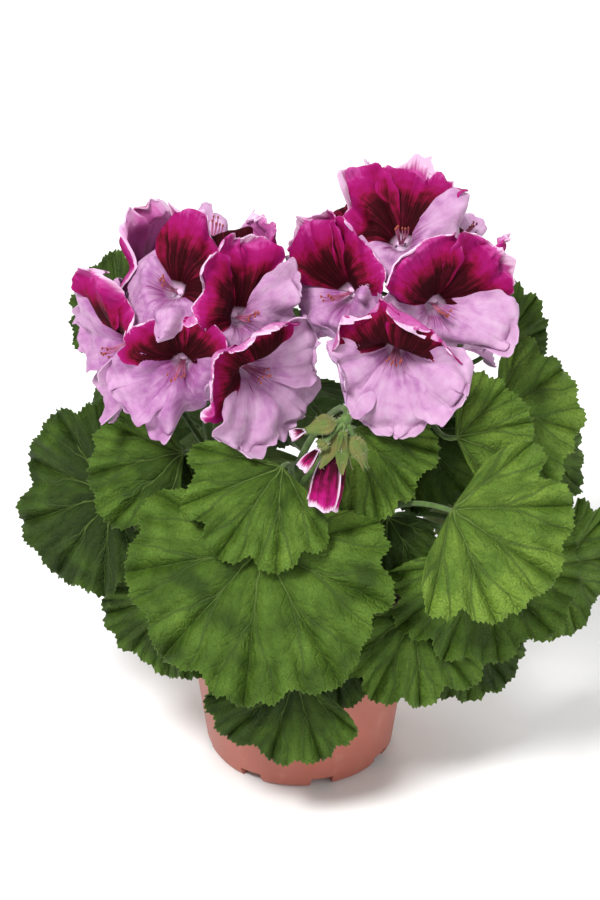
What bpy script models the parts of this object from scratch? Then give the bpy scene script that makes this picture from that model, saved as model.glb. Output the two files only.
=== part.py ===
"""Flowering regal pelargonium in a plastic nursery pot.

The pot stands on its foot at the world origin, +Z is up and -Y is the side that
faces a viewer. Lengths in the tables are millimetres, and every mesh is scaled
to metres when it is made.
"""

import math
from collections import namedtuple

import bmesh
import bpy
from mathutils import Vector
from mathutils.geometry import delaunay_2d_cdt

# Pot
POT_HEIGHT = 100.0
POT_FOOT_RADIUS = 45.0
POT_TAPER = 0.13
POT_WALL = 1.6
POT_RIM_OUT = 2.2
POT_RIM_DEPTH = 9.0
POT_FLOOR = 5.0
POT_CORNER = 4.0
POT_STEPS = 28
DRAIN_COUNT = 8
DRAIN_WIDTH = 11.0
DRAIN_HEIGHT = 6.0

# Compost
COMPOST_TOP = 87.0
COMPOST_DOME = 3.0
COMPOST_STEPS = 24
HOLE_DEPTH = 22.0

# Clearances and sheet thicknesses
GAP = 0.3
BLADE_THICK = 0.75
PETAL_THICK = 0.7

# Plant
STEM_RADIUS = 3.4
PETIOLE_RADIUS = 1.35
PEDICEL_RADIUS = 1.0
STALK_RADIUS = 2.0
STAMEN_REACH = 17.0
CALYX_LENGTH = 9.0
CALYX_SPREAD = 6.0
CALYX_WAIST = 2.2
HUB_THICK = 1.2
UPPER_HUB = (1.3, 0.0, 2.0)
LOWER_HUB = (-0.6, -1.6, 2.7)
CLAW_START = 2.3
TEETH_STEPS = 26
TOOTH = 0.03

# Petals
PETAL_LIFTS = (60.0, 60.0, 64.0, 54.0, 64.0)
PETAL_CURL = -22.0
PETAL_ANGLES = (-38.0, 38.0, -114.0, 180.0, 114.0)
PETAL_LENGTHS = (37.0, 37.0, 36.0, 38.0, 36.0)
PETAL_WIDTHS = (18.0, 18.0, 15.0, 14.0, 15.0)
PETAL_BROADEST = 0.72
PETAL_ROWS = (0.0, 0.36, 0.62, 0.84, 0.95)
CELL_MARGIN = 0.75
PETAL_MARGIN = 0.5
CELL_SOFT = 2.4

COLOURS = {
    "pot": ((0.39, 0.125, 0.1), 0.55),
    "compost": ((0.035, 0.022, 0.014), 0.95),
    "green": ((0.12, 0.2, 0.035), 0.6),
    "dark": ((0.25, 0.01, 0.06), 0.6),
    "pale": ((0.68, 0.45, 0.65), 0.6),
}

Stem = namedtuple("Stem", "name foot top lean")
Leaf = namedtuple("Leaf", "name shoot at face rise turn reach spread droop sway height")
Head = namedtuple("Head", "name shoot centre foot")
Bloom = namedtuple("Bloom", "head number face rise tilt roll out size weight")
Bud = namedtuple("Bud", "name way stalk calyx radius petals petal_radius sepals")

STEMS = (
    Stem("front", (0, -14), 168, (-2, -24)),
    Stem("left", (-20, -3), 190, (-44, -6)),
    Stem("right", (21, -3), 200, (46, 2)),
    Stem("back_left", (-13, 20), 178, (-34, 40)),
    Stem("back_right", (15, 21), 178, (34, 42)),
)

# name, shoot, where the stalk meets the blade, facing azimuth (0 is -Y, + is
# to +X), how far up it faces, turn of the midrib from downhill, length of the
# blade, half its fan angle, droop, stalk sway, stalk height on the stem
LEAVES = (
    Leaf("front_big", "front", (-17, -67, 150), -6, 34, -4, 67, 128, 0.10, 0, 128),
    Leaf("front_upper", "front", (-8, -56, 186), -6, 33, -33, 47, 82, 0.04, 0, 150),
    Leaf("front_right", "front", (25, -37, 195), 12, 36, 38, 41, 74, 0.08, 0, 155),
    Leaf("front_hang", "front", (-3, -73, 86), -6, 12, -12, 47, 72, 0.06, 0, 122),
    Leaf("front_hang_right", "front", (14, -63, 98), 14, 10, 34, 38, 70, 0.08, 0, 126),
    Leaf("front_low_right", "right", (52, -55, 108), 14, 22, 2, 46, 110, 0.12, 0, 112),
    Leaf("left_upper", "left", (-53, -33, 180), -20, 34, -68, 46, 78, 0.06, 0, 150),
    Leaf("left_big", "left", (-87, -12, 145), -28, 24, -62, 52, 112, 0.12, 0, 135),
    Leaf("left_low", "left", (-56, -36, 105), -26, 18, -34, 43, 100, 0.10, 0, 112),
    Leaf("left_inner", "left", (-42, -34, 150), -16, 30, -56, 40, 104, 0.10, 0, 130),
    Leaf("left_high", "back_left", (-84, 38, 212), -36, 26, -115, 32, 92, 0.08, 0, 160),
    Leaf("left_side", "left", (-78, 10, 196), -62, 30, -30, 33, 98, 0.10, 0, 160),
    Leaf("right_big", "right", (67, -70, 172), 14, 36, 50, 55, 88, 0.05, 0, 118),
    Leaf("right_upper", "right", (70, -39, 191), 12, 36, 96, 35, 80, 0.04, -10, 188),
    Leaf("right_side", "right", (90, -12, 190), 26, 36, 66, 44, 98, 0.08, 0, 165),
    Leaf("right_outer", "right", (110, 8, 158), 44, 28, 40, 36, 112, 0.12, 0, 140),
    Leaf("right_far", "right", (121, -10, 106), 34, 18, 44, 38, 112, 0.12, 0, 116),
    Leaf("right_low", "right", (83, -46, 130), 12, 24, 8, 50, 112, 0.12, 0, 122),
    Leaf("right_inner", "right", (54, -4, 175), 4, 20, -4, 38, 96, 0.10, 0, 160),
    Leaf("right_under", "right", (78, -30, 84), 24, 12, 30, 40, 100, 0.10, 0, 122),
    Leaf("right_high", "back_right", (92, 40, 194), 30, 22, 150, 33, 100, 0.10, 0, 160),
    Leaf("back_left_side", "back_left", (-80, 50, 164), -125, 36, 0, 48, 106, 0.10, 0, 138),
    Leaf("back_left_top", "back_left", (-34, 64, 196), -160, 46, 10, 46, 118, 0.12, 0, 150),
    Leaf("back_left_low", "back_left", (-78, 36, 118), -112, 22, 0, 50, 112, 0.12, 0, 114),
    Leaf("back_mid", "back_left", (-22, 82, 142), -168, 28, 0, 52, 118, 0.12, 0, 120),
    Leaf("back_right_side", "back_right", (84, 50, 158), 122, 32, 0, 50, 114, 0.12, 0, 130),
    Leaf("back_right_top", "back_right", (38, 66, 198), 158, 46, -8, 46, 118, 0.12, 0, 150),
    Leaf("back_right_low", "back_right", (72, 58, 110), 128, 20, 0, 46, 112, 0.12, 0, 112),
    Leaf("back_centre", "back_right", (2, 46, 172), 178, 52, 0, 34, 84, 0.08, 0, 140),
    Leaf("back_low", "back_right", (6, 88, 104), 178, 18, 4, 44, 110, 0.12, 0, 112),
    Leaf("right_behind", "back_right", (48, 18, 176), 2, 4, 0, 48, 96, 0.02, 0, 150),
    Leaf("front_deep", "front", (40, -40, 150), 10, 30, -10, 27, 92, 0.08, 0, 140),
)

HEADS = (
    Head("left", "left", (-45, -10, 232), (-44, -6, 190)),
    Head("right", "right", (46, 0, 245), (46, 2, 200)),
)

# head, number, azimuth and rise of its place on the head, how much further up
# it faces than it stands, roll, distance of the throat from the middle of the
# head, size, and its share of the room
BLOOMS = (
    Bloom("left", 1, -12, -2, 6, 0, 37, 1.0, 1.1),
    Bloom("left", 2, 40, -14, 20, 40, 38, 1.0, 1.4),
    Bloom("left", 3, 38, 30, 0, 20, 38, 1.0, 1.0),
    Bloom("left", 4, -30, 54, 0, -40, 37, 1.0, 1.0),
    Bloom("left", 5, 160, 66, 0, 0, 41, 1.0, 0.95),
    Bloom("left", 6, -68, -3, 0, -20, 38, 1.0, 1.0),
    Bloom("left", 7, -126, 18, 0, 0, 37, 1.0, 1.0),
    Bloom("left", 8, 116, 14, 0, 0, 38, 1.0, 1.0),
    Bloom("right", 1, -50, 16, 0, 10, 38, 1.0, 1.05),
    Bloom("right", 2, 24, 14, 0, -14, 38, 1.05, 1.15),
    Bloom("right", 3, -6, -24, 26, 0, 38, 1.05, 1.15),
    Bloom("right", 4, -6, 66, 0, 20, 38, 1.0, 1.0),
    Bloom("right", 5, -124, 28, 0, 0, 38, 1.0, 1.0),
    Bloom("right", 6, 176, 36, 0, 0, 38, 1.0, 1.0),
    Bloom("right", 7, 112, 40, 0, 0, 36, 0.88, 0.95),
    Bloom("right", 8, 84, -2, 0, 14, 36, 0.86, 0.95),
)

# name, way it hangs, stalk length, calyx length and radius, length and radius
# of the petals that show beyond it, and how far its sepals stand off its axis
BUD_HUB = (20, -68, 217)
BUDS = (
    Bud("open", (-0.24, -0.12, -0.95), 5, 4, 2.0, 33, 8.5, 5.0),
    Bud("dark", (-0.66, -0.34, -0.66), 13, 4, 2.0, 12, 3.3, 0),
    Bud("green", (-0.93, -0.20, -0.22), 4, 14, 4.2, 7, 2.8, 0),
    Bud("brown", (0.36, -0.24, -0.90), 8, 15, 3.4, 0, 0, 0),
)


def chance(seed):
    """A steady value from 0 to 1 for each seed."""
    value = math.sin(seed * 12.9898) * 43758.5453
    return value - math.floor(value)


def facing(azimuth, rise):
    turn = math.radians(azimuth)
    lift = math.radians(rise)
    flat = math.cos(lift)
    return Vector((math.sin(turn) * flat, -math.cos(turn) * flat, math.sin(lift)))


def downhill(normal):
    down = Vector((0, 0, -1))
    return (down - normal * down.dot(normal)).normalized()


def swing(first, second, degrees):
    angle = math.radians(degrees)
    return first * math.cos(angle) + second * math.sin(angle)


# Scene and mesh helpers
def clear_scene():
    for thing in list(bpy.data.objects):
        bpy.data.objects.remove(thing, do_unlink=True)


def collection_named(name, hidden=False):
    made = bpy.data.collections.new(name)
    bpy.context.scene.collection.children.link(made)
    made.hide_render = hidden
    return made


def material_named(name, colour, roughness):
    made = bpy.data.materials.new(name)
    made.use_nodes = True
    shader = made.node_tree.nodes["Principled BSDF"]
    shader.inputs["Base Color"].default_value = (*colour, 1.0)
    shader.inputs["Roughness"].default_value = roughness
    shader.inputs["Metallic"].default_value = 0.0
    return made


def mesh_object(name, points, faces, collection):
    """An object from millimetre points, scaled to metres."""
    mesh = bpy.data.meshes.new(name)
    mesh.from_pydata([tuple(Vector(point) * 0.001) for point in points], [], faces)
    mesh.update()
    made = bpy.data.objects.new(name, mesh)
    collection.objects.link(made)
    return made


def baked(source, collection):
    """The shape with its modifiers and curve settings made a plain mesh."""
    bpy.context.view_layer.update()
    graph = bpy.context.evaluated_depsgraph_get()
    mesh = bpy.data.meshes.new_from_object(source.evaluated_get(graph))
    mesh.transform(source.matrix_world)
    name = source.name
    was_curve = source.type == "CURVE"
    bpy.data.objects.remove(source, do_unlink=True)
    shape = bmesh.new()
    shape.from_mesh(mesh)
    if was_curve:
        bmesh.ops.remove_doubles(shape, verts=shape.verts, dist=1e-7)
    bmesh.ops.recalc_face_normals(shape, faces=shape.faces)
    shape.to_mesh(mesh)
    shape.free()
    made = bpy.data.objects.new(name, mesh)
    collection.objects.link(made)
    return made


def thick_sheet(name, points, faces, thickness, collection):
    sheet = mesh_object(name, points, faces, collection)
    solid = sheet.modifiers.new("thickness", "SOLIDIFY")
    solid.thickness = thickness * 0.001
    solid.offset = 0.0
    return baked(sheet, collection)


def flat_faces(spots, rim):
    """Triangles over flat points, the first of which are the outline."""
    outline = [(index, (index + 1) % rim) for index in range(rim)]
    found = delaunay_2d_cdt(spots, outline, [], 1, 1e-6)
    order = [sources[0] for sources in found[3]]
    return [tuple(order[index] for index in face) for face in found[2]]


def tube(name, points, radii, collection, resolution=4, sides=1):
    """A round tube along a smooth path, given as points or point and handle pairs."""
    curve = bpy.data.curves.new(name, "CURVE")
    curve.dimensions = "3D"
    curve.bevel_depth = 0.001
    curve.bevel_resolution = sides
    curve.resolution_u = resolution
    curve.use_fill_caps = True
    spline = curve.splines.new("BEZIER")
    spline.bezier_points.add(len(points) - 1)
    for knot, (place, arm), radius in zip(spline.bezier_points, points, radii):
        knot.co = Vector(place) * 0.001
        knot.handle_left_type = "FREE"
        knot.handle_right_type = "FREE"
        knot.handle_left = (Vector(place) - Vector(arm)) * 0.001
        knot.handle_right = (Vector(place) + Vector(arm)) * 0.001
        knot.radius = radius
    made = bpy.data.objects.new(name, curve)
    collection.objects.link(made)
    return baked(made, collection)


def joined(base, operation, name, material, collection, workshop):
    """The base joined to, or cut by, all that is in the workshop."""
    change = base.modifiers.new("join", "BOOLEAN")
    change.operation = operation
    change.solver = "MANIFOLD"
    change.operand_type = "COLLECTION"
    change.collection = workshop
    base = baked(base, collection)
    for piece in list(workshop.objects):
        bpy.data.objects.remove(piece, do_unlink=True)
    return finished(base, name, material)


def finished(base, name, material):
    base.name = name
    base.data.name = name
    base.data.materials.clear()
    base.data.materials.append(material)
    return base


def fuse(pieces, name, material, collection, workshop):
    """One body from overlapping pieces."""
    for piece in pieces[1:]:
        for owner in list(piece.users_collection):
            owner.objects.unlink(piece)
        workshop.objects.link(piece)
    return joined(pieces[0], "UNION", name, material, collection, workshop)


# Pot and compost
def pot_radius(height):
    return POT_FOOT_RADIUS + POT_TAPER * height


def turned(name, profile, steps, collection):
    """A solid of revolution from a profile of (radius, height) pairs on the axis."""
    points = [(radius, 0, height) for radius, height in profile]
    made = mesh_object(name, points, [], collection)
    shape = bmesh.new()
    corners = [shape.verts.new(Vector(point) * 0.001) for point in points]
    for first, second in zip(corners, corners[1:]):
        shape.edges.new((first, second))
    shape.to_mesh(made.data)
    shape.free()
    screw = made.modifiers.new("turn", "SCREW")
    screw.axis = "Z"
    screw.steps = steps
    screw.render_steps = steps
    screw.use_merge_vertices = True
    screw.merge_threshold = 1e-5
    return baked(made, collection)


def make_pot(material, collection, workshop):
    top = POT_HEIGHT
    outside = pot_radius(top) + POT_RIM_OUT
    inside = pot_radius(top) - POT_WALL
    profile = [
        (0, 0),
        (POT_FOOT_RADIUS - POT_CORNER, 0),
        (POT_FOOT_RADIUS - 1.2, 1.2),
        (pot_radius(4.0), 4.0),
        (pot_radius(top - POT_RIM_DEPTH), top - POT_RIM_DEPTH),
        (outside - 0.6, top - POT_RIM_DEPTH + 0.8),
        (outside, top - 1.2),
        (outside - 1.0, top),
        (inside + 0.6, top),
        (inside - 0.1, top - 1.0),
        (pot_radius(POT_FLOOR + 3.0) - POT_WALL, POT_FLOOR + 3.0),
        (pot_radius(POT_FLOOR) - POT_WALL - 2.5, POT_FLOOR),
        (0, POT_FLOOR),
    ]
    pot = turned("pot", profile, POT_STEPS, collection)
    for number in range(DRAIN_COUNT):
        angle = 2 * math.pi * (number + 0.3) / DRAIN_COUNT
        bpy.ops.mesh.primitive_cube_add(size=1)
        cutter = bpy.context.object
        cutter.name = f"drain_{number}"
        cutter.scale = (0.016, DRAIN_WIDTH * 0.001, DRAIN_HEIGHT * 0.001 * 2)
        cutter.rotation_euler = (0, 0, angle)
        reach = POT_FOOT_RADIUS * 0.001
        cutter.location = (math.cos(angle) * reach, math.sin(angle) * reach, 0)
        placed(cutter, cutter.name, workshop)
    joined(pot, "DIFFERENCE", "pot", material, collection, workshop)


def make_compost(material, collection, workshop):
    low = POT_FLOOR + GAP
    clear = POT_WALL + 0.5
    profile = [
        (0, low),
        (pot_radius(low) - clear - 2.6, low),
        (pot_radius(low + 3.2) - clear, low + 3.2),
        (pot_radius(COMPOST_TOP) - clear - 0.2, COMPOST_TOP),
        (38, COMPOST_TOP + 0.7 * COMPOST_DOME),
        (0, COMPOST_TOP + COMPOST_DOME),
    ]
    compost = turned("compost", profile, COMPOST_STEPS, collection)
    for stem in STEMS:
        bpy.ops.mesh.primitive_cylinder_add(
            vertices=8,
            radius=(STEM_RADIUS + 0.8) * 0.001,
            depth=(HOLE_DEPTH + 10) * 0.001,
            location=(
                stem.foot[0] * 0.001,
                stem.foot[1] * 0.001,
                (COMPOST_TOP + COMPOST_DOME - HOLE_DEPTH / 2 + 5) * 0.001,
            ),
        )
        placed(bpy.context.object, f"hole_{stem.name}", workshop)
    joined(compost, "DIFFERENCE", "compost", material, collection, workshop)


# Leaves
def leaf_axes(leaf):
    normal = facing(leaf.face, leaf.rise)
    down = downhill(normal)
    midrib = swing(down, normal.cross(down), leaf.turn)
    return normal, midrib, normal.cross(midrib)


def leaf_number(leaf):
    return LEAVES.index(leaf) + 1


def leaf_lobes(leaf):
    return 5 if leaf.spread < 100 else 7


def leaf_reach(leaf, angle):
    """Length of the blade from its stalk at an angle from the midrib."""
    share = abs(angle) / leaf.spread
    width = 2 * leaf.spread / leaf_lobes(leaf)
    valley = 1 - abs(math.cos(math.pi * angle / width))
    reach = 1 - 0.14 * share**2 - 0.42 * share**10
    reach *= 1 - 0.13 * valley**1.6
    number = leaf_number(leaf)
    cut_at = (chance(number) - 0.5) * 1.2 * leaf.spread
    near = (angle - cut_at) / 7.0
    reach *= 1 - 0.10 * math.exp(-near * near)
    reach *= 1 + 0.04 * math.sin(math.radians(angle) * 2 + number)
    return leaf.reach * reach


def leaf_point(leaf, angle, radius):
    """A point of the blade: angle in degrees from the midrib, radius in mm."""
    normal, midrib, side = leaf_axes(leaf)
    number = leaf_number(leaf)
    share = radius / leaf.reach
    width = 2 * leaf.spread / leaf_lobes(leaf)
    ridge = abs(math.sin(math.pi * angle / width))
    height = -leaf.droop * share**2
    height -= 0.035 * math.exp(-((share / 0.16) ** 2))
    height += 0.07 * share * (ridge - 0.5)
    wave = math.sin(math.radians(angle) * 5 + number * 1.7)
    height += 0.045 * share**3 * wave
    height += 0.10 * share * math.sin(math.radians(angle) * 0.5) ** 2
    turn = math.radians(angle)
    flat = midrib * math.cos(turn) + side * math.sin(turn)
    return Vector(leaf.at) + flat * radius + normal * (height * leaf.reach)


def blade(leaf, collection):
    """A blade: toothed fan outline with inner points on its veins and ridges."""
    flat = [(0.0, 0.0)]
    for step in range(TEETH_STEPS + 1):
        angle = -leaf.spread + 2 * leaf.spread * step / TEETH_STEPS
        tooth = TOOTH if step % 2 else -TOOTH
        flat.append((angle, leaf_reach(leaf, angle) * (1 + tooth)))
    rim = len(flat)
    lobes = leaf_lobes(leaf)
    width = 2 * leaf.spread / lobes
    for step in range(1 - lobes, lobes, 2):
        angle = step * width / 2
        flat.append((angle, 0.66 * leaf_reach(leaf, angle)))
    for step in (-1.6, 0, 1.6):
        angle = step * width
        flat.append((angle, 0.3 * leaf.reach))
    spots = []
    for angle, radius in flat:
        turn = math.radians(angle)
        spots.append(Vector((radius * math.cos(turn), radius * math.sin(turn))))
    faces = flat_faces(spots, rim)
    points = [leaf_point(leaf, angle, radius) for angle, radius in flat]
    return thick_sheet(f"blade_{leaf.name}", points, faces, BLADE_THICK, collection)


def stem_named(name):
    return next(stem for stem in STEMS if stem.name == name)


def stem_place(stem, height):
    """A point on the stem's own path at a height."""
    low = COMPOST_TOP
    share = min(1.0, max(0.0, (height - low) / (stem.top - low)))
    bend = share * share * (3 - 2 * share)
    across = Vector(stem.foot).lerp(Vector(stem.lean), bend)
    return Vector((across.x, across.y, height))


def stem_tube(stem, collection):
    foot = Vector((*stem.foot, COMPOST_TOP + COMPOST_DOME - HOLE_DEPTH + 0.8))
    places = [foot]
    low = COMPOST_TOP
    for step in range(4):
        places.append(stem_place(stem, low + 6 + (stem.top - low - 6) * step / 3))
    points = []
    for index, place in enumerate(places):
        before = places[max(0, index - 1)]
        after = places[min(len(places) - 1, index + 1)]
        points.append((place, (after - before) * 0.17))
    radii = (STEM_RADIUS, STEM_RADIUS, 3.1, 2.8, 2.4)
    return tube(f"stem_{stem.name}", points, radii, collection, 2, 1)


def petiole(leaf, collection):
    stem = stem_named(leaf.shoot)
    normal, midrib = leaf_axes(leaf)[:2]
    start = stem_place(stem, leaf.height)
    end = Vector(leaf.at) + midrib * 1.0 - normal * 0.035 * leaf.reach
    span = (end - start).length
    out = Vector((end.x - start.x, end.y - start.y, 0))
    if out.length > 0:
        out.normalize()
    hang = min(1.0, max(0.0, (24 - leaf.rise) / 12))
    leave = (out + Vector((0, 0, 1.1))).normalized() * span * 0.4
    arrive = midrib * (0.5 + 0.4 * hang) + normal * (0.6 - 0.3 * hang)
    arrive = arrive.normalized() * span * (0.3 + 0.15 * hang)
    across = Vector((out.y, -out.x, 0)) * leaf.sway
    points = [(start, leave + across), (end, arrive + across * 0.5)]
    radii = (PETIOLE_RADIUS * 1.15, PETIOLE_RADIUS * 0.9)
    return tube(f"petiole_{leaf.name}", points, radii, collection, 3, 0)


# Blooms
def head_named(name):
    return next(head for head in HEADS if head.name == name)


def bloom_axes(bloom):
    """Forward, up and right of a bloom, with up turned by its roll."""
    forward = facing(bloom.face, bloom.rise + bloom.tilt)
    up = -downhill(forward)
    right = up.cross(forward)
    roll = math.radians(bloom.roll)
    turned_up = up * math.cos(roll) - right * math.sin(roll)
    return forward, turned_up, turned_up.cross(forward)


def bloom_hub(bloom):
    """Where the petals of a bloom meet, behind its throat."""
    head = head_named(bloom.head)
    return Vector(head.centre) + facing(bloom.face, bloom.rise) * (bloom.out - 7.0)


def cell_walls(bloom):
    """Planes that keep a bloom's petals clear of its neighbours' petals."""
    centre = Vector(head_named(bloom.head).centre)
    own = facing(bloom.face, bloom.rise)
    walls = []
    for other in BLOOMS:
        if other.head != bloom.head or other.number == bloom.number:
            continue
        away = facing(other.face, other.rise)
        gap = own.angle(away)
        if gap > math.radians(130):
            continue
        share = gap * bloom.weight / (bloom.weight + other.weight)
        across = (away - own * away.dot(own)).normalized()
        normal = across * math.cos(share) - own * math.sin(share)
        walls.append((centre, normal))
    left = Vector(HEADS[0].centre)
    right = Vector(HEADS[1].centre)
    middle = left.lerp(right, 0.5) + Vector((0, 22, -22))
    normal = (right - left).normalized()
    if bloom.head == "right":
        normal = -normal
    walls.append((middle, normal))
    return walls


def petal_walls(bloom, place):
    """The walls of the bloom's cell and those between a petal and the next ones."""
    forward, up, right = bloom_axes(bloom)
    walls = [(centre, normal, CELL_MARGIN, CELL_SOFT) for centre, normal in cell_walls(bloom)]
    own = PETAL_ANGLES[place]
    around = sorted(PETAL_ANGLES)
    spot = around.index(own)
    after = around[(spot + 1) % 5] + (360 if spot == 4 else 0)
    before = around[spot - 1] - (360 if spot == 0 else 0)
    for edge, sign in (((own + after) / 2, 1), ((own + before) / 2, -1)):
        border = swing(up, right, edge)
        normal = border.cross(forward) * sign
        if normal.dot(swing(up, right, own)) > 0:
            normal = -normal
        walls.append((bloom_hub(bloom), normal, PETAL_MARGIN, 0.0))
    return walls


def kept_inside(point, walls):
    """The point pushed back from each wall and outward along it."""
    place = Vector(point)
    for turn in range(6):
        for centre, normal, margin, soft in walls:
            offset = place - centre
            reach = offset.dot(normal) + margin
            over = max(0.0, reach)
            if turn == 0 and soft:
                over = soft * math.log1p(math.exp(min(reach / soft, 30.0)))
            if over < 1e-4:
                continue
            along = offset - normal * offset.dot(normal)
            place = place - normal * over
            if turn < 2 and soft and along.length > 1:
                place = place + along.normalized() * over * 0.75
    return place


def petal_half(along, width):
    """Half the width of a petal at a share of its length."""
    if along < PETAL_BROADEST:
        swell = math.sin(0.5 * math.pi * along / PETAL_BROADEST) ** 2.3
        return width * (0.08 + 0.92 * swell)
    rest = (along - PETAL_BROADEST) / (1 - PETAL_BROADEST)
    return width * max(0.0, 1 - rest**2.5) ** 0.5


def petal_point(bloom, place, across, along, walls):
    """A point of a petal. Across runs from -1 to 1, along from 0 to 1."""
    forward, up, right = bloom_axes(bloom)
    seed = BLOOMS.index(bloom) * 5 + place + 1
    angle = PETAL_ANGLES[place] + (chance(seed) - 0.5) * 6
    outward = swing(up, right, angle)
    sideways = outward.cross(forward)
    length = PETAL_LENGTHS[place] * bloom.size
    start = math.radians(PETAL_LIFTS[place])
    end = math.radians(PETAL_CURL + (chance(seed + 0.5) - 0.5) * 26)
    lift = start + (end - start) * along
    rate = length / (end - start)
    run = rate * (math.sin(lift) - math.sin(start))
    climb = rate * (math.cos(start) - math.cos(lift))
    normal = forward * math.cos(lift) - outward * math.sin(lift)
    half = petal_half(along, PETAL_WIDTHS[place] * bloom.size)
    edge = abs(across)
    ripple = math.sin(across * 5.2 + along * 6.0 + seed)
    ripple += 0.7 * math.sin(across * 9.0 - along * 9.0 + seed * 2.3)
    ruffle = 2.2 * bloom.size * along**2 * (0.15 + 0.85 * edge**1.5) * ripple
    cup = 0.22 * half * edge * edge * (1 - along)
    depth = UPPER_HUB[1] if place < 2 else LOWER_HUB[1]
    base = bloom_hub(bloom) + outward * CLAW_START + forward * depth
    spot = base + outward * run + forward * climb
    spot += sideways * half * across + normal * (ruffle + cup)
    return kept_inside(spot, walls)


def petal(bloom, place, collection):
    walls = petal_walls(bloom, place)
    marks = [(1.0, along) for along in PETAL_ROWS]
    marks.append((0.0, 1.0))
    marks += [(-1.0, along) for along in reversed(PETAL_ROWS)]
    rim = len(marks)
    marks += [(0.0, 0.36), (0.45, 0.7), (-0.45, 0.7)]
    width = PETAL_WIDTHS[place]
    spots = [
        Vector((petal_half(along, width) * across, along * PETAL_LENGTHS[place]))
        for across, along in marks
    ]
    points = [petal_point(bloom, place, across, along, walls) for across, along in marks]
    faces = flat_faces(spots, rim)
    name = f"petal_{bloom.head}_{bloom.number}_{place}"
    return thick_sheet(name, points, faces, PETAL_THICK, collection)


def ball(name, centre, radius, collection):
    bpy.ops.mesh.primitive_ico_sphere_add(
        subdivisions=1, radius=radius * 0.001, location=Vector(centre) * 0.001
    )
    return placed(bpy.context.object, name, collection)


def placed(made, name, collection):
    """The new object with its place taken into its mesh, in this collection."""
    bpy.context.view_layer.update()
    made.name = name
    made.data.transform(made.matrix_world)
    made.matrix_world.identity()
    for owner in list(made.users_collection):
        owner.objects.unlink(made)
    collection.objects.link(made)
    return made


def hub_disc(bloom, spec, collection):
    """The small disc that the claws of some petals grow from."""
    forward, up = bloom_axes(bloom)[:2]
    rise, depth, radius = spec
    centre = bloom_hub(bloom) + up * rise + forward * depth
    bpy.ops.mesh.primitive_cylinder_add(
        vertices=6, radius=radius * 0.001, depth=HUB_THICK * 0.001,
        location=centre * 0.001, rotation=forward.to_track_quat("Z", "Y").to_euler(),
    )
    return placed(bpy.context.object, "hub", collection)


def make_bloom(bloom, materials, collection, workshop):
    forward, up = bloom_axes(bloom)[:2]
    hub = bloom_hub(bloom)
    label = f"bloom_{bloom.head}_{bloom.number}"
    upper = [hub_disc(bloom, UPPER_HUB, collection)]
    upper += [petal(bloom, place, collection) for place in (0, 1)]
    start = hub + up * 0.6
    tip = hub - up * 2.5 + forward * STAMEN_REACH
    points = [(start, forward * 6), (tip, forward * 4 - up * 3)]
    upper.append(tube("stamens", points, (0.7, 1.1), collection, 1, 0))
    fuse(upper, f"{label}_upper", materials["dark"], collection, workshop)
    lower = [hub_disc(bloom, LOWER_HUB, collection)]
    lower += [petal(bloom, place, collection) for place in (2, 3, 4)]
    fuse(lower, f"{label}_lower", materials["pale"], collection, workshop)


def calyx_top(bloom):
    forward = bloom_axes(bloom)[0]
    return bloom_hub(bloom) + forward * (LOWER_HUB[1] - HUB_THICK / 2 - GAP - 0.1)


def calyx(bloom, collection):
    """The star of green sepals behind a bloom."""
    forward, up, right = bloom_axes(bloom)
    top = calyx_top(bloom)
    points = [top - forward * (CALYX_LENGTH + 0.2)]
    for step in range(10):
        turn = math.radians(36 * step)
        around = up * math.cos(turn) + right * math.sin(turn)
        if step % 2:
            points.append(top - forward * CALYX_LENGTH / 2 + around * CALYX_WAIST)
        else:
            points.append(top - forward * 1.2 + around * CALYX_SPREAD)
    points.append(top)
    faces = []
    for step in range(10):
        after = (step + 1) % 10
        faces.append((0, 1 + after, 1 + step))
        faces.append((11, 1 + step, 1 + after))
    made = mesh_object(f"calyx_{bloom.number}", points, faces, collection)
    return baked(made, collection)


def pedicel(bloom, collection):
    head = head_named(bloom.head)
    forward = bloom_axes(bloom)[0]
    start = Vector(head.centre) - Vector((0, 0, 5))
    end = calyx_top(bloom) - forward * (CALYX_LENGTH - 1.5)
    arm = (end - start) * 0.33
    arrive = forward * arm.length
    radii = (PEDICEL_RADIUS, 1.2 * PEDICEL_RADIUS)
    return tube("pedicel", [(start, arm), (end, arrive)], radii, collection, 1, 0)


def head_stalk(head, collection):
    start = Vector(head.foot)
    end = Vector(head.centre) - Vector((0, 0, 3))
    arm = Vector((0, 0, 12))
    radii = (STALK_RADIUS, 1.15 * STALK_RADIUS)
    return tube("stalk", [(start, arm), (end, arm)], radii, collection, 3, 2)


# Buds
def lathed(name, base, axis, profile, sides, collection, flatten=1.0):
    """A closed solid round an axis, from (distance, radius) pairs along it."""
    across = downhill(axis)
    other = axis.cross(across)
    points = []
    for distance, radius in profile:
        for step in range(sides):
            turn = 2 * math.pi * step / sides
            wide = other * math.cos(turn) * radius
            deep = across * math.sin(turn) * radius * flatten
            points.append(base + axis * distance + wide + deep)
    faces = [tuple(range(sides)), tuple(reversed(range(len(points) - sides, len(points))))]
    for ring in range(len(profile) - 1):
        for step in range(sides):
            after = (step + 1) % sides
            low = ring * sides
            high = low + sides
            faces.append((low + step, high + step, high + after, low + after))
    return baked(mesh_object(name, points, faces, collection), collection)


def bud_line(bud):
    """Where a bud's calyx starts and the way it points."""
    way = Vector(bud.way).normalized()
    return Vector(BUD_HUB) + way * bud.stalk, way


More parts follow.
